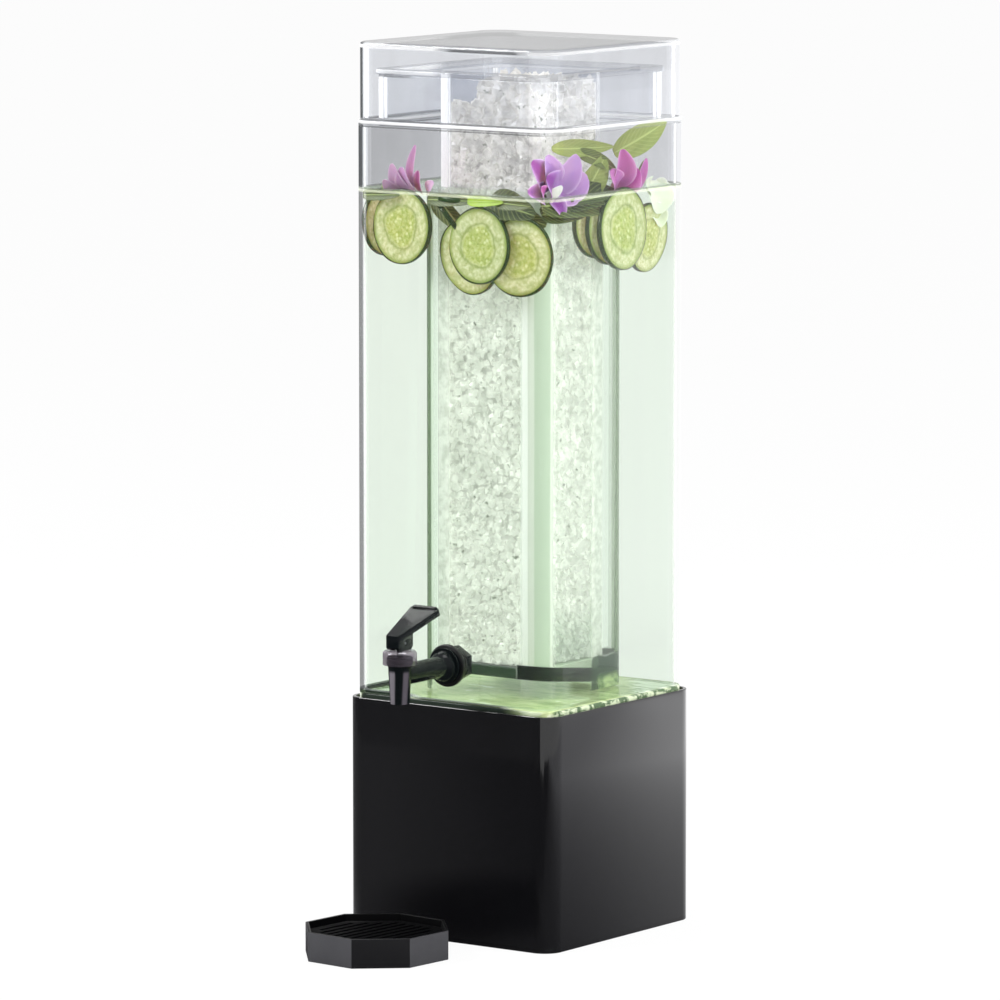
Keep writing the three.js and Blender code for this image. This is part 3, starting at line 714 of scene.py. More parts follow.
# Plates in the drink
def floor_plate_material():
    """The tank's floor, seen through the drink: mottled pale yellow-green, painted light over the black box
    below, with painted white glints and darker streaks, painted glints at both ends, and pale dashes over
    painted green shade along its foot, with painted shade at the left front. It glows a little, a painted
    light, and more towards the middle of the front."""
    s = Shader("tank_floor_acrylic")
    x, y, _ = s.split(s.place())
    across = s.across()
    mottle = s.noise(s.stretched(s.place(), 0.45, 1.3, 2.0, turn=(0, 0, 0.62)), 75.0, 4.0, 0.65, 0.9)
    broad = s.noise(s.place(), 22.0, 3.0, 0.6)
    # painted light: pale yellow-green mottles with white glints
    colour = s.mix(s.step(mottle, 0.34, 0.56), srgb(146, 164, 108), srgb(190, 203, 152))
    colour = s.mix(s.step(broad, 0.45, 0.65), colour, srgb(196, 207, 160))
    colour = s.mix(s.step(mottle, 0.60, 0.70), colour, srgb(236, 240, 216))
    # painted glints at both ends
    ends = s.step(s.size(across), 0.078, 0.092)
    glints = s.mix(s.step(mottle, 0.42, 0.56), srgb(104, 132, 92), srgb(232, 240, 226))
    colour = s.mix(s.times(ends, 0.85), colour, glints)

    # painted shade: green with pale dashes along the foot, darkest at the left front
    reach = s.math("MAXIMUM", s.size(x), s.size(y))
    foot = s.step(s.plus(reach, s.times(s.minus(mottle, 0.5), 0.004)), 0.0885, 0.0905)
    gaps = s.mix(s.step(x, 0.083, 0.088), srgb(150, 168, 118), srgb(80, 104, 70))
    colour = s.mix(foot, colour, s.mix(s.step(mottle, 0.46, 0.6), gaps, srgb(200, 212, 178)))
    shaded = s.times(foot, s.step(y, -0.084, -0.088), s.step(across, 0.010, -0.015))
    colour = s.mix(shaded, colour, srgb(34, 44, 36))

    # painted glow, stronger towards the middle of the front
    behind = s.plus(s.times(x, TURN_SIN), s.times(y, TURN_COS))
    middle = s.times(s.step(s.size(across), 0.05, 0.02), s.step(behind, 0.0, -0.02))
    glow = s.plus(0.12, s.times(middle, s.less(foot), 0.24))
    return s.finish(s.skin(colour, 0.25, Emission_Color=colour, Emission_Strength=glow,
                           Normal=s.bump(mottle, 0.4, 0.0006)))


def tube_floor_material():
    """The ice tube's floor plate: a deep green painted shade at the left, seen through the drink, and pale
    from the middle to the right.
    """
    s = Shader("ice_tube_floor_acrylic")
    streak = s.noise(s.place(), 60.0)
    # painted shade: deep green at the left
    deep = s.mix(streak, srgb(30, 46, 34), srgb(58, 78, 58))
    pale = s.mix(streak, srgb(168, 184, 160), srgb(204, 214, 198))
    return s.finish(s.skin(s.mix(s.step(s.across(), 0.006, 0.022), deep, pale), 0.12,
                           Normal=s.bump(streak, 0.1, 0.0002)))


def make_plates():
    """The tank's floor and the ice tube's floor, with rounded edges."""
    soft = (1.0, 0.4)
    dress(plate_piece("tank_floor", TANK, FOOT_Z, FLOOR_Z, soft, "clear_acrylic", "container",
                      ["container_floor"]), floor_plate_material())
    dress(plate_piece("ice_tube_bottom", TUBE, TUBE_FOOT_Z, TUBE_FLOOR_Z, soft, "clear_acrylic",
                      "ice_chamber", ["ice_tube_floor"], steps=14), tube_floor_material())


# The drink
FILM_BANDS = [  # from one side of a corner to the other: arc place, colour, how solid; the palest are painted highlights
    (0.0, srgb(226, 230, 226), 0.6),
    (0.05, srgb(238, 241, 238), 0.85),
    (0.20, srgb(206, 212, 202), 0.85),
    (0.367, srgb(180, 195, 176), 0.9),
    (0.797, srgb(214, 220, 210), 0.85),
    (0.88, srgb(228, 232, 226), 0.3),
]


def film_material():
    """The drink round the ice tube: clear on its flats, with upright bands in its rounded corners, faint
    below the tube's floor, the palest of them painted highlights. The corners at either side end in a
    painted grey strip and a painted dark line of shade where they turn from the eye, with icy grains
    beyond. A painted dark band of shade slopes along the tube's foot from the front corner to the right,
    where it ends in a dark green block of painted shade that is mottled low down."""
    s = Shader("drink_round_the_tube")
    x, y, z = s.split(s.place())
    across, away = s.across(), s.away()
    beside = s.size(across)
    in_corner, _ = inside_corners(s, FILM, 0.3, FILM_SHIFT)
    wobble = s.noise(s.stretched(s.place(), 1, 1, 0.15), 60.0)
    arc = s.plus(s.value("arc"), s.times(s.minus(wobble, 0.5), 0.04))
    _, colour, solid = FILM_BANDS[0]
    for place, shade, strength in FILM_BANDS[1:]:
        turn = s.step(arc, place - 0.02, place + 0.02)
        colour = s.mix(turn, colour, shade)
        solid = s.plus(s.times(s.less(turn), solid), s.times(turn, strength))
    above_floor = s.step(z, 0.2050, 0.2056)
    paint = Paint(s, colour, s.times(solid, in_corner, s.plus(0.25, s.times(above_floor, 0.75))))

    # painted shade: a grey strip and a dark line where the side corners turn from the eye
    side = s.step(beside, 0.035, 0.040)
    paint.add(s.times(s.step(away, 0.10, 0.16), in_corner, side), srgb(196, 208, 193), 0.35)
    paint.add(s.times(s.step(away, 0.42, 0.50), in_corner, side), srgb(100, 118, 92), 0.85)
    grains = s.mix(s.step(s.noise(s.place(), 170.0, 3.0, 0.6), 0.35, 0.65), srgb(190, 196, 186),
                   srgb(228, 231, 225))
    beyond_side = s.times(s.step(beside, 0.0520, 0.0545), s.step(beside, 0.0630, 0.0610), above_floor)
    paint.add(beyond_side, grains, 0.6)

    # painted shade: a dark band along the tube's foot and a dark green block at the right
    ripple = s.noise(s.stretched(s.place(), 1, 1, 1.6), 90.0)
    sloped = s.plus(z, s.times(s.plus(y, 0.0385), 0.123))
    band = s.times(s.step(across, -0.004, -0.002), s.step(x, 0.0, 0.01),
                   s.step(sloped, 0.1950, 0.1960), s.step(sloped, 0.2070, 0.2060))
    paint.add(band, s.mix(ripple, srgb(4, 16, 5), srgb(12, 30, 12)), 0.97)
    block = s.times(s.step(across, 0.0525, 0.0545), s.step(s.plus(z, s.times(ripple, 0.006)), 0.2125, 0.2095))
    mottled = s.mix(s.step(ripple, 0.35, 0.65), srgb(84, 112, 70), srgb(170, 190, 136))
    dark = s.less(s.times(s.step(across, 0.057, 0.061), s.step(z, 0.196, 0.188)))
    paint.add(block, s.mix(dark, mottled, srgb(40, 62, 44)), 0.85)

    clear = s.node("BsdfTransparent", Color=(0.985, 0.995, 0.985))
    return s.finish(s.both(s.times(paint.share, s.front()), clear, s.skin(paint.colour, 0.2)))


def drink_material():
    """The drink: a pale green tint at each surface, deeper low down, and deeper at the right as painted
    shade, with slow swirls and a clear gloss on its top."""
    s = Shader("pale_green_drink")
    z = s.split(s.place())[2]
    tint = s.mix(s.step(z, 0.19, 0.56), (0.925, 0.975, 0.918), (0.95, 0.985, 0.942))
    swirl = s.noise(s.place(), 9.0, 3.0, 0.5, 0.6)
    tint = s.mix(s.times(s.step(swirl, 0.4, 0.7), 0.4), tint, (0.935, 0.975, 0.93))
    # painted shade: a deeper tint at the right
    tint = s.mix(s.step(s.across(), 0.02, 0.09), tint, (0.905, 0.95, 0.90))
    level = s.step(s.size(s.normal()[2]), 0.6, 0.9)
    share = s.math("MULTIPLY", level, s.plus(0.05, s.times(s.math("POWER", s.away(), 4.0), 0.5)), clamp=True)
    ripple = s.bump(s.noise(s.place(), 60.0, 2.0), 0.2, 0.0006)
    return s.finish(s.glossy_clear(share, tint, (0.9, 0.95, 0.9), 0.05, Normal=ripple))


def make_drink():
    """The drink's body, and the film round the ice tube that shows how wide the drink makes it look."""
    gap, below = 0.3, 1.0  # over the floor, and under the drink's surface
    drink = plate_piece("drink", DRINK, FLOOR_Z + gap, WATER_Z, (0.5, 0.5), "drink", "container", steps=12)
    section = wall_section(FILM_WALL, FILM_FOOT_Z, WATER_Z - below, 0.05)
    film = ring_piece("drink_film", FILM, section, "drink", "container", steps=20)
    film.data.transform(Matrix.Translation((FILM_SHIFT[0] * MM, FILM_SHIFT[1] * MM, 0)))
    dress(drink, drink_material())
    dress(film, film_material())
    for piece in (drink, film):
        piece.visible_shadow = False


# Ice
ICE_HEAPS = [  # size of the lumps, from and to what height, how deep behind the tube's wall
    (4.9, 208.0, 590.0, 4.6),
    (7.5, 592.0, 662.0, 8.0),
]
ICE_SPAN, CORE_SPAN = (204.4, 664.0), (204.6, 618.0)  # lowest and highest


def ice_centres(rng, step, low, high, depth):
    """Centres on a jittered lattice from low to high, kept where they lie near the tube's walls, within
    depth, or near the heap's top. The top is its middle height, a slow wave of sines along x and y, and a
    smooth fall towards the left."""
    reach, solid_from, crust, loose = 42.5, 614.0, 9, 0.45
    middle, wave, fall, fall_from, fall_over = 642.0, 3.5, 17.0, -22.0, 16.0
    axis = np.arange(-reach, reach + 0.1, step)
    up = np.arange(low, high, step * 0.9)
    grid = np.stack(np.meshgrid(axis, axis, up, indexing="ij"), -1).reshape(-1, 3)
    grid = grid + rng.uniform(-loose, loose, grid.shape) * step
    x, y, z = grid.T
    left = np.clip((fall_from - (x * TURN_COS + y * TURN_SIN)) / fall_over, 0, 1)
    top = middle + wave * np.sin(x / 17.0 + 1.0) * np.cos(y / 21.0) - fall * left * left * (3 - 2 * left)
    outer = np.maximum(np.abs(x), np.abs(y)) > reach - depth
    return grid[(outer | (z > top - crust) | (z > solid_from)) & (z < top)]


def crushed_ice():
    """Crushed ice heaped in the tube: thousands of small six-sided lumps, larger above the drink. A lump is
    a block's corners times a jitter and a stretch, turned at random, plus its centre. Every point is then
    pulled inside the tube's rounded square."""
    rng = np.random.default_rng(11)
    heaps = [ice_centres(rng, *heap) for heap in ICE_HEAPS]
    centres = np.vstack(heaps)
    sizes = np.repeat([heap[0] for heap in ICE_HEAPS], [len(heap) for heap in heaps])
    count = len(centres)
    turns = np.linalg.qr(rng.normal(size=(count, 3, 3)))[0]
    turns[:, :, 0] *= np.linalg.det(turns)[:, None]
    stretch = rng.uniform(0.75, 1.2, (count, 1, 3))
    jitter = rng.uniform(0.7, 1.2, (count, 8, 1))
    block = np.array([[x, y, z] for x in (-1, 1) for y in (-1, 1) for z in (-1, 1)]) / 3 ** 0.5
    lumps = block[None] * jitter * stretch * (sizes * 0.80)[:, None, None]
    points = np.einsum("nij,nkj->nki", turns, lumps) + centres[:, None]

    limit, corner = 44.2, 12.0
    flat = np.clip(points[..., :2], -limit, limit)
    axis = np.clip(flat, -(limit - corner), limit - corner)
    out = flat - axis
    far = np.linalg.norm(out, axis=-1, keepdims=True)
    flat = axis + out * np.minimum(1, corner / np.maximum(far, 1e-6))
    points = np.concatenate([flat, np.clip(points[..., 2:], *ICE_SPAN)], -1)
    sides = np.array([[0, 1, 3, 2], [4, 6, 7, 5], [0, 4, 5, 1], [2, 3, 7, 6], [0, 2, 6, 4], [1, 5, 7, 3]])
    faces = (sides[None] + 8 * np.arange(count)[:, None, None]).reshape(-1, 4)
    tone = np.repeat(rng.uniform(0, 1, count) ** 0.7, 8)
    return put_mesh("crushed_ice", points.reshape(-1, 3), [faces], "ice", "ice_chamber", flat=True, tone=tone)


def ice_material(name, dim=1.0):
    """Ice: pale lumps, each a little different, frosted in soft patches, with a few dark gaps of painted
    shade between them, painted grey shade at the lower right and at the heap's top, and a painted glow
    from within, standing for the light that runs through the whole heap. dim makes all of it darker, as
    painted shade."""
    s = Shader(name)
    z = s.split(s.place())[2]
    above = s.step(z, (WATER_Z - 2) * MM, (WATER_Z + 6) * MM)
    frost = s.noise(s.place(), 115.0, 4.0, 0.6)
    patch = s.noise(s.place(), 34.0, 3.0, 0.6)

    def shade(*steps):
        return toned(srgb(*steps), dim)

    share = s.plus(s.times(s.value("tone"), 0.15), s.times(s.step(frost, 0.3, 0.7), 0.5))
    share = s.plus(share, s.times(s.minus(patch, 0.3), 0.9), clamp=True)
    wet = s.mix(share, shade(186, 188, 180), shade(242, 241, 237))
    dry = s.mix(share, shade(178, 176, 171), shade(250, 247, 240))
    colour = s.mix(above, wet, dry)
    # painted shade in the gaps between lumps
    gaps = s.step(s.noise(s.place(), 210.0, 2.0, 0.4), 0.66, 0.72)
    colour = s.mix(s.times(gaps, s.step(patch, 0.40, 0.55), 0.75), colour, shade(112, 120, 104))
    # painted shade: greyer at the lower right, and at the heap's top
    low = s.times(s.step(s.plus(z, s.times(patch, 0.03)), 0.268, 0.236), s.step(s.across(), 0.020, 0.026))
    colour = s.mix(s.times(low, 0.5), colour, shade(150, 164, 148))
    colour = s.mix(s.times(s.step(z, 0.628, 0.650), 0.35), colour, shade(150, 151, 153))
    # painted glow: emission, stronger above the drink
    return s.finish(s.skin(s.mix(0.4, colour, (0.0, 0.0, 0.0)), 0.3, Emission_Color=colour,
                           Emission_Strength=s.plus(0.62, s.times(above, 0.16)),
                           Normal=s.bump(frost, 0.3, 0.0005)))


def make_ice():
    """The crushed ice, and a rough core inside it that closes the gaps between the lumps."""
    dress(crushed_ice(), ice_material("crushed_ice"))
    core = plate_piece("ice_core", ICE_CORE, *CORE_SPAN, (2.0, 5.0), "ice", "ice_chamber", steps=6)
    # the core is the same ice made darker: painted shade inside the heap
    dress(core, ice_material("packed_ice", 0.86))


# Cucumber slices
SLICE_THICK = 3.8
SLICES = [  # centre, direction that it faces, radius
    ((-51.5, -79.5, 535.0), (-0.10, -1, 0.03), 28.5),
    ((-83.0, -58.0, 536.0), (1, -0.08, 0.03), 26.0),
    ((20.5, -80.0, 524.4), (-0.06, -1, 0.02), 28.6),
    ((8.0, -75.0, 515.4), (-0.12, -1, -0.10), 29.0),
    ((54.0, -76.0, 517.4), (0.08, -1, 0.05), 29.2),
    ((80.5, 18.5, 533.0), (1, 0.02, 0.03), 31.2),
    ((75.0, 10.0, 535.0), (1, -0.06, 0.05), 28.5),
    ((69.5, 0.5, 537.5), (1, -0.12, 0.06), 25.5),
    ((74.0, 60.0, 523.0), (1, 0.04, -0.08), 26.5),
    ((-4.0, -57.5, 556.8), (0.05, 0.04, 1), 28.5),
    ((-14.0, -66.0, 541.0), (0.55, 0.35, 0.55), 20.0),
]


def unit(vector):
    """The vector at length 1."""
    return np.asarray(vector, float) / np.linalg.norm(vector)


def basis(normal, turn):
    """Two unit vectors across a direction, turned about it, and the direction at length 1."""
    n = unit(normal)
    a = unit(np.cross([0, 0, 1.0], n)) if abs(n[2]) < 0.95 else np.array([1.0, 0, 0])
    b = np.cross(n, a)
    c, s = math.cos(turn), math.sin(turn)
    return c * a + s * b, -s * a + c * b, n


def cucumber_slice(number, centre, normal, radius):
    """A cut slice: rings of points from the middle out, over the rind and back to the middle, with the
    radius and both faces waved by a few slow sines. detail holds the place in the slice, rim at 1."""
    rng = np.random.default_rng(number)
    rings, steps, half = 14, 72, SLICE_THICK / 2
    inner = np.linspace(0.04, 0.985, rings)
    section = np.vstack([
        np.stack([inner, np.full(rings, half)], -1),
        [[1.0, half * 0.72], [1.004, 0], [1.0, -half * 0.72]],
        np.stack([inner[::-1], np.full(rings, -half)], -1),
    ])
    out, height = section[:, :1], section[:, 1:]
    angle = np.linspace(0, 2 * math.pi, steps, endpoint=False)
    p = rng.uniform(0, 6.28, 6)
    wave = (1 + 0.012 * np.sin(2 * angle + p[0]) + 0.008 * np.sin(3 * angle + p[1])
            + 0.004 * np.sin(7 * angle + p[2]))
    r = out * wave
    bowl = 0.5 * out ** 2 * np.sin(2 * angle + p[3])
    dimples = 0.18 * np.sin(6.0 * r + p[4]) * np.cos(4 * angle + p[5]) * (out < 0.8)
    local = np.stack([r * np.cos(angle), r * np.sin(angle), height + bowl + dimples], -1)
    a, b, n = basis(normal, turn=number * 1.3)
    centre = np.asarray(centre)
    points = local[..., :1] * radius * a + local[..., 1:2] * radius * b + local[..., 2:] * n + centre
    points = np.vstack([points.reshape(-1, 3), centre + n * half, centre - n * half])
    # the rings run from one face to the other, so every face is turned round to point outwards
    faces = [f[:, ::-1] for f in (grid_quads(len(section), steps), *end_fans(len(section), steps))]
    detail = local.reshape(-1, 3) * np.array([1, 1, 0.2]) + [0, 0, number]
    detail = np.vstack([detail, [[0, 0, number]] * 2])
    return put_mesh("cucumber_slice_%02d" % number, points, faces, "cucumber", "container", detail=detail,
                    tone=np.full(len(detail), (number * 0.37) % 1.0))


def cucumber_material():
    """Cucumber: dark rind at the rim, a green ring inside it, pale flesh with green blotches, a core with
    three lobes and pale seeds in it, and a little painted glow from within."""
    s = Shader("cucumber_flesh_and_rind")
    detail = s.vector("detail")
    x, y, _ = s.split(detail)
    radius = s.length(x, y)
    cloud = s.noise(detail, 3.2, 3.0, 0.5, 0.4)
    fine = s.noise(detail, 10.0)
    lobes = s.times(s.math("SINE", s.times(s.math("ARCTAN2", y, x), 3.0)), 0.035)
    wobbly = s.plus(s.plus(radius, lobes), s.times(s.minus(cloud, 0.5), 0.12))
    speckle = s.step(fine, 0.3, 0.7)
    flesh = s.mix(speckle, srgb(176, 182, 128), srgb(210, 210, 170))
    core = s.mix(speckle, srgb(158, 170, 88), srgb(192, 196, 130))
    colour = s.mix(s.step(wobbly, 0.44, 0.58), core, flesh)
    ring = s.times(s.step(wobbly, 0.5, 0.56), s.step(wobbly, 0.64, 0.56))
    colour = s.mix(s.times(ring, 0.6), colour, srgb(126, 142, 62))
    blotch = s.step(s.noise(detail, 4.5, 2.0), 0.50, 0.66)
    colour = s.mix(s.times(blotch, 0.35), colour, srgb(128, 146, 66))
    beds = s.node("TexVoronoi", Vector=s.stretched(detail, 1, 1, 0.4), Scale=6.5).outputs["Distance"]
    seed = s.times(s.step(beds, 0.4, 0.18), s.times(s.step(radius, 0.1, 0.2), s.step(wobbly, 0.5, 0.42)))
    colour = s.mix(s.times(seed, 0.6), colour, srgb(226, 226, 178))
    colour = s.mix(s.step(radius, 0.82, 0.95), colour, srgb(138, 154, 82))
    rind = s.mix(fine, srgb(22, 42, 12), srgb(48, 74, 26))
    colour = s.mix(s.step(radius, 0.945, 0.975), colour, rind)
    height = s.plus(s.times(seed, 0.6), s.times(fine, 0.5))
    # painted glow: emission lifts the slices that lie in shade
    return s.finish(s.skin(s.mix(0.2, colour, (0.0, 0.0, 0.0)), 0.22, Subsurface_Weight=0.15,
                           Emission_Color=colour, Emission_Strength=0.24,
                           Normal=s.bump(height, 0.35, 0.0006)))


def make_slices():
    """The slices that float at the drink's surface and lean on the tank's walls."""
    cucumber = cucumber_material()
    for number, (centre, normal, radius) in enumerate(SLICES, 1):
        dress(cucumber_slice(number, centre, normal, radius), cucumber)


# Petals and leaves
LEFT_WALL, RIGHT_WALL, FRONT = (-0.3, -1, 0.2), (1, -0.2, 0.2), (0, -1, 0.1)  # directions that they face
FLOWERS = dict(  # where they face, and each petal's base, tip, width, bend and shade
    pink=(LEFT_WALL, [
        ((-50, -70, 560), (-40, -78, 597), 12, 0.05, 0.75),
        ((-54, -70, 560), (-62, -79, 582), 17, 0.08, 0.35),
        ((-48, -72, 560), (-52, -80, 580), 20, 0.08, 0.45),
        ((-40, -72, 560), (-36, -80, 578), 14, 0.06, 0.95),
        ((-34, -72, 560), (-22, -80, 570), 12, 0.05, 0.05),
        ((-60, -72, 559), (-70, -79, 569), 12, 0.05, 0.3),
    ]),
    purple=(RIGHT_WALL, [
        ((66, -60, 566), (70, -84, 590), 26, 0.10, 0.95),
        ((66, -62, 563), (72, -92, 568), 18, 0.10, 0.85),
        ((68, -58, 566), (74, -70, 594), 24, 0.10, 0.35),
        ((70, -58, 567), (78, -76, 578), 26, 0.10, 0.98),
        ((70, -54, 566), (77, -34, 592), 22, 0.10, 0.45),
        ((70, -50, 564), (78, -22, 574), 24, 0.10, 0.6),
        ((70, -58, 562), (76, -50, 546), 14, 0.10, 0.9),
        ((72, -52, 562), (77, -32, 560), 16, 0.10, 0.7),
    ]),
    magenta=(RIGHT_WALL, [
        ((72, 24, 562), (78, 22, 593), 24, 0.12, 0.85),
        ((72, 22, 562), (78, 6, 578), 18, 0.12, 0.55),
        ((72, 28, 562), (78, 44, 576), 20, 0.12, 0.95),
        ((74, 44, 560), (78, 54, 584), 9, 0.06, 0.7),
        ((72, -72, 563), (79, -84, 571), 13, 0.1, 0.9),
    ]),
    cream=(RIGHT_WALL, [
        ((72, 66, 560), (78, 52, 566), 16, 0.1, 0.15),
        ((72, 72, 566), (78, 70, 540), 30, 0.1, 0.1),
        ((72, 70, 560), (76, 82, 552), 22, 0.1, 0.3),
        ((72, -67, 562), (78, -55, 570), 8, 0.1, 0.05),
        ((72, 72, 545), (78, 74, 530), 18, 0.1, 0.5),
    ]),
)
# a leaf like the others, with brighter greens that are painted light
SUNLIT_LEAF = [((12, -85.0, 557.6), (46, -85.0, 558.4), FRONT, 8.0, 0.02, 0.0)]
# the darkest leaves, along the front wall just under the drink's surface, are painted shade: dark strips for
# the band that the surface reflects
LEAVES = [  # base, tip, face, width, bend and shade; two more numbers shape a blade's outline
    ((-26, -83.6, 557.0), (20, -83.6, 557.6), FRONT, 10.0, 0.02, 0.9),
    ((-86, -83.8, 557.5), (-50, -83.8, 559.0), FRONT, 9.0, 0.02, 0.9),
    ((78, -46, 557.0), (79, 22, 561.0), (1, 0, 0.1), 8, 0.02, 0.98),
    ((36, -83.6, 558.0), (70, -83.6, 556.4), FRONT, 10.0, 0.02, 0.9),
    ((66, -54, 597), (70, 24, 594), RIGHT_WALL, 14, -0.05, 0.15, 0.8, 0.75),
    ((66, 26, 588), (76, 84, 610), RIGHT_WALL, 22, 0.05, 0.1, 0.7, 0.75),
    ((64, -16, 592), (74, 20, 577), RIGHT_WALL, 12, 0.05, 0.7),
    ((66, -12, 560), (72, 8, 588), RIGHT_WALL, 22, 0.05, 0.15),
    ((70, 46, 560), (76, 54, 582), RIGHT_WALL, 9, 0.05, 0.4),
    ((20, -70, 556), (66, -72, 548), (0, -1, 0.6), 26, 0.05, 0.95),
    ((68, -60, 558), (76, 20, 560), (1, 0, 0.5), 24, 0.02, 0.98),
    ((68, -70, 549), (76, -20, 548), (1, 0, 0.5), 18, 0.02, 0.98),
    ((-76, -72, 560), (-64, -76, 567), LEFT_WALL, 8, 0.05, 0.1),
    ((24, -66, 551), (72, -66, 541), (0, -1, 0.4), 20, 0.05, 0.9),
    ((70, -74, 556), (74, 14, 549), (1, 0, 0.4), 22, 0.04, 0.9),
    ((-30, -70, 556), (6, -68, 530), (0, -1, 0.3), 15, 0.05, 0.85),
]
PETAL_THICK, LEAF_THICK = 0.5, 0.4
BLADE_GRID = (15, 9)


def blade(base, tip, face, width, bend, sharp=0.6, blunt=0.5):
    """A petal or leaf: u runs from base to tip and v across. Its half width is sin(pi u^sharp) to the power
    blunt, its sides rise by a cup of v squared, and its length bends by sin(pi u). Gives its points, and for
    each one v, u and the blade's own number."""
    cup = 0.15
    base, tip, face = (np.asarray(p, float) for p in (base, tip, face))
    length = np.linalg.norm(tip - base)
    along = (tip - base) / length
    face = unit(face - along * (face @ along))
    u = np.linspace(0.02, 0.985, BLADE_GRID[0])[:, None]
    v = np.linspace(-1, 1, BLADE_GRID[1])[None]
    half = width / 2 * np.sin(math.pi * u ** sharp) ** blunt
    rise = cup * width * v ** 2 * np.sin(math.pi * u) + bend * length * np.sin(math.pi * u)
    points = (base + along * (length * u)[..., None] + np.cross(along, face) * (half * v)[..., None]
              + face * rise[..., None])
    detail = np.stack(np.broadcast_arrays(v, u, base.sum() % 7), -1)
    return points.reshape(-1, 3), detail.reshape(-1, 3)


def bunch(name, blades, slot, thick):
    """Several petals or leaves as one piece, thickened and rounded. tone is each one's own shade."""
    parts = [blade(*row[:5], *row[6:]) for row in blades]
    count = BLADE_GRID[0] * BLADE_GRID[1]
    faces = [grid_quads(*BLADE_GRID, wrap_cols=False) + k * count for k in range(len(blades))]
    piece = put_mesh(name, np.vstack([points for points, _ in parts]), faces, slot, "container",
                     detail=np.vstack([detail for _, detail in parts]),
                     tone=np.repeat([row[5] for row in blades], count))
    solid = piece.modifiers.new("thickness", "SOLIDIFY")
    solid.thickness, solid.offset = thick * MM, 0.0
    rounding = piece.modifiers.new("round", "SUBSURF")
    rounding.levels = rounding.render_levels = 1
    return piece


def petal_material(name, pale, mid, deep, rim):
    """Orchid petal: pale at its rim, deeper along the middle, fine veins running to the tip."""
    s = Shader(name)
    detail, tone = s.vector("detail"), s.value("tone")
    across = s.size(s.split(detail)[0])
    vein = s.noise(s.stretched(detail, 9, 1.2, 1), 2.2, 3.0, 0.6)
    share = s.plus(s.times(tone, 0.6), s.times(vein, 0.45), clamp=True)
    colour = s.mix(share, srgb(*pale), srgb(*mid))
    colour = s.mix(s.times(s.step(tone, 0.6, 1.0), s.step(across, 0.9, 0.3)), colour, srgb(*deep))
    colour = s.mix(s.times(s.step(across, 0.75, 1.0), 0.6), colour, srgb(*rim))
    return s.finish(s.skin(colour, 0.5, Subsurface_Weight=0.2, Sheen_Weight=0.15,
                           Normal=s.bump(vein, 0.3, 0.0004)))


def leaf_material(name, deep, bright):
    """Leaf: a pale midrib, side veins at a slant, and cloudy green between a deep and a bright tone."""
    s = Shader(name)
    detail = s.vector("detail")
    v, u, _ = s.split(detail)
    across = s.size(v)
    slant = s.minus(u, s.times(across, 0.25))
    veins = s.math("POWER", s.size(s.math("SINE", s.times(slant, 34.0))), 12.0)
    colour = s.mix(s.noise(detail, 3.0, 4.0), srgb(*deep), srgb(*bright))
    # the tone darkens a leaf to deep green: partly a darker leaf, and in the darkest strips under the drink's
    # surface, painted shade
    colour = s.mix(s.value("tone"), colour, srgb(40, 56, 24))
    ribs = s.math("MAXIMUM", s.times(veins, 0.4), s.step(across, 0.12, 0.03))
    colour = s.mix(s.times(ribs, 0.6), colour, srgb(196, 212, 130))
    return s.finish(s.skin(colour, 0.4, Subsurface_Weight=0.1, Normal=s.bump(ribs, 0.4, 0.0005)))


def make_garnish():
    """Orchids at the drink's surface, and leaves round them and on the wall above the drink. The darkest
    leaves, along the front wall under the drink's surface, are painted shade, and the sunlit leaf's brighter
    greens are painted light.
    """
    colours = dict(  # pale, middle, deep and rim
        pink=[(238, 196, 228), (206, 110, 186), (150, 34, 120), (246, 214, 238)],
        purple=[(206, 160, 214), (160, 96, 176), (132, 40, 140), (226, 190, 230)],
        magenta=[(226, 140, 208), (190, 70, 160), (160, 28, 130), (232, 170, 220)],
        cream=[(240, 240, 226), (206, 212, 160), (186, 198, 130), (246, 246, 238)],
    )
    for name, (face, petals) in FLOWERS.items():
        rows = [(base, tip, face, *rest) for base, tip, *rest in petals]
        flower = bunch(name + "_orchid_flower", rows, "petal", PETAL_THICK)
        dress(flower, petal_material(name + "_orchid", *colours[name]))
    dress(bunch("sunlit_leaf", SUNLIT_LEAF, "leaf", LEAF_THICK),
          leaf_material("sunlit_leaf", (132, 162, 14), (170, 196, 40)))
    dress(bunch("fresh_leaves", LEAVES, "leaf", LEAF_THICK),
          leaf_material("fresh_leaf", (120, 142, 56), (176, 188, 104)))


# Floor, backdrop and lights
def seen_directly(s):
    """1 for the camera's rays and for rays that passed through something."""
    rays = s.node("LightPath").outputs
    return s.math("MAXIMUM", rays["Is Camera Ray"], rays["Is Transmission Ray"])


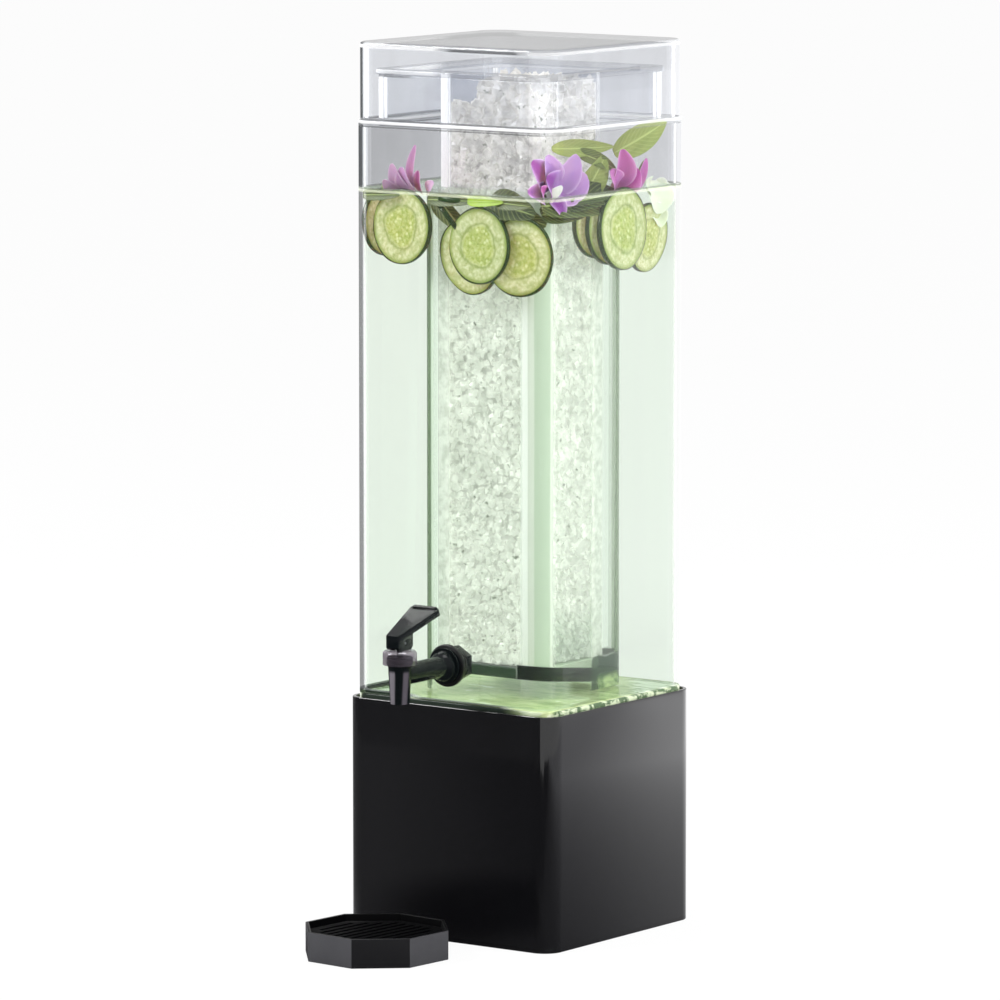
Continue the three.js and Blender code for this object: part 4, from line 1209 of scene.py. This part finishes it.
def floor_material():
    """A floor that is white for the camera. In reflections it is dim in front of the object and towards its
    near corner, and brighter a metre behind it on the right, as black flags would make it. Round the tray
    it is near black in reflections: a painted reflection of the tray, which reflections don't see."""
    s = Shader("studio_floor")
    x, y, _ = s.split(s.place())
    aside = s.plus(s.times(x, TURN_COS), s.times(y, -TURN_SIN))
    behind = s.plus(s.times(x, TURN_SIN), s.times(y, TURN_COS))
    dim = s.mix(s.step(aside, -0.03, 0.14), (1, 1, 1), (0.3, 0.3, 0.31))
    far = s.mix(s.step(behind, 0.0, 1.35, smooth=False), (0.33, 0.33, 0.34), (1.62, 1.62, 1.64))
    level = s.mix(s.step(behind, -0.25, 0.0), (0.13, 0.13, 0.135), far)
    # painted reflection: in glossy rays the floor goes near black round the tray
    near_tray = s.step(s.length(*from_tray(s, x, y)), 0.040, 0.150)
    level = s.mix(near_tray, (0.02, 0.02, 0.022), level)
    mirrored = s.node("Emission", Color=s.mix(1.0, dim, level, blend="MULTIPLY"))
    cloudy = s.mix(s.noise(s.place(), 4.0, 2.0), (0.80, 0.80, 0.80), (0.84, 0.84, 0.84))
    lit = s.node("BsdfDiffuse", Color=cloudy)
    shown = s.both(0.94, lit, s.node("Emission", Color=(1, 1, 1)))
    glossy = s.node("LightPath").outputs["Is Glossy Ray"]
    return s.finish(s.both(glossy, s.both(seen_directly(s), lit, shown), mirrored))


def make_studio():
    """A floor and a world that are white for the camera, and a black card that only reflections see."""
    count, span = 7, 27.0
    x, y = np.meshgrid(np.linspace(-span, span, count), np.linspace(-span, span, count), indexing="ij")
    points = np.stack([x, y, np.full(x.shape, -0.0002)], -1).reshape(-1, 3)
    quads = grid_quads(count, count, wrap_cols=False)
    floor = placed("studio_floor", filled_mesh("studio_floor", points, [quads]))
    dress(floor, floor_material())

    corners = [(-5.6, -1.0, 0.0), (0.9, -5.7, 0.0), (0.9, -5.7, 3.4), (-5.6, -1.0, 3.4)]
    flag = placed("black_flag", filled_mesh("black_flag", corners, [np.arange(4)[None]]))
    card = Shader("black_flag")
    shade = card.mix(card.noise(card.place(), 0.6, 2.0), (0.065, 0.065, 0.068), (0.10, 0.10, 0.104))
    dress(flag, card.finish(card.node("Emission", Color=shade)))
    flag.visible_camera = flag.visible_diffuse = flag.visible_shadow = False
    flag.visible_transmission = flag.visible_volume_scatter = False

    sky = Shader("studio", world=True)
    level = sky.node("MapRange", Value=seen_directly(sky), To_Min=0.66, To_Max=1.0)
    bpy.context.scene.world = sky.finish(sky.node("Background", Color=(1, 1, 1), Strength=level))


def soft_box(name, place, aim, size, power, mirrored=True):
    """A rectangular area lamp at a place, turned to face a point. Where it isn't mirrored, the polished
    walls don't show its glare."""
    data = bpy.data.lights.new(name, "AREA")
    data.shape, data.size, data.size_y, data.energy = "RECTANGLE", size[0], size[1], power
    lamp = placed(name, data)
    lamp.location = place
    lamp.visible_glossy = mirrored
    lamp.rotation_euler = (Vector(aim) - Vector(place)).to_track_quat("-Z", "Y").to_euler()


for make in (make_base, make_shells, make_tap, make_plates, make_drink, make_ice, make_slices, make_garnish,
             make_studio):
    make()
soft_box("key_box", (-2.2, -2.2, 2.4), (0, 0, 0.35), (1.6, 1.6), 120.0)
soft_box("side_strip", (2.6, 0.6, 1.4), (0, 0, 0.35), (0.7, 2.0), 60.0, mirrored=False)
soft_box("top_box", (0.2, 0.2, 2.6), (0, 0, 0.3), (1.4, 1.4), 40.0)

scene = bpy.context.scene
scene.view_settings.view_transform = "Standard"
scene.cycles.transparent_max_bounces = 32
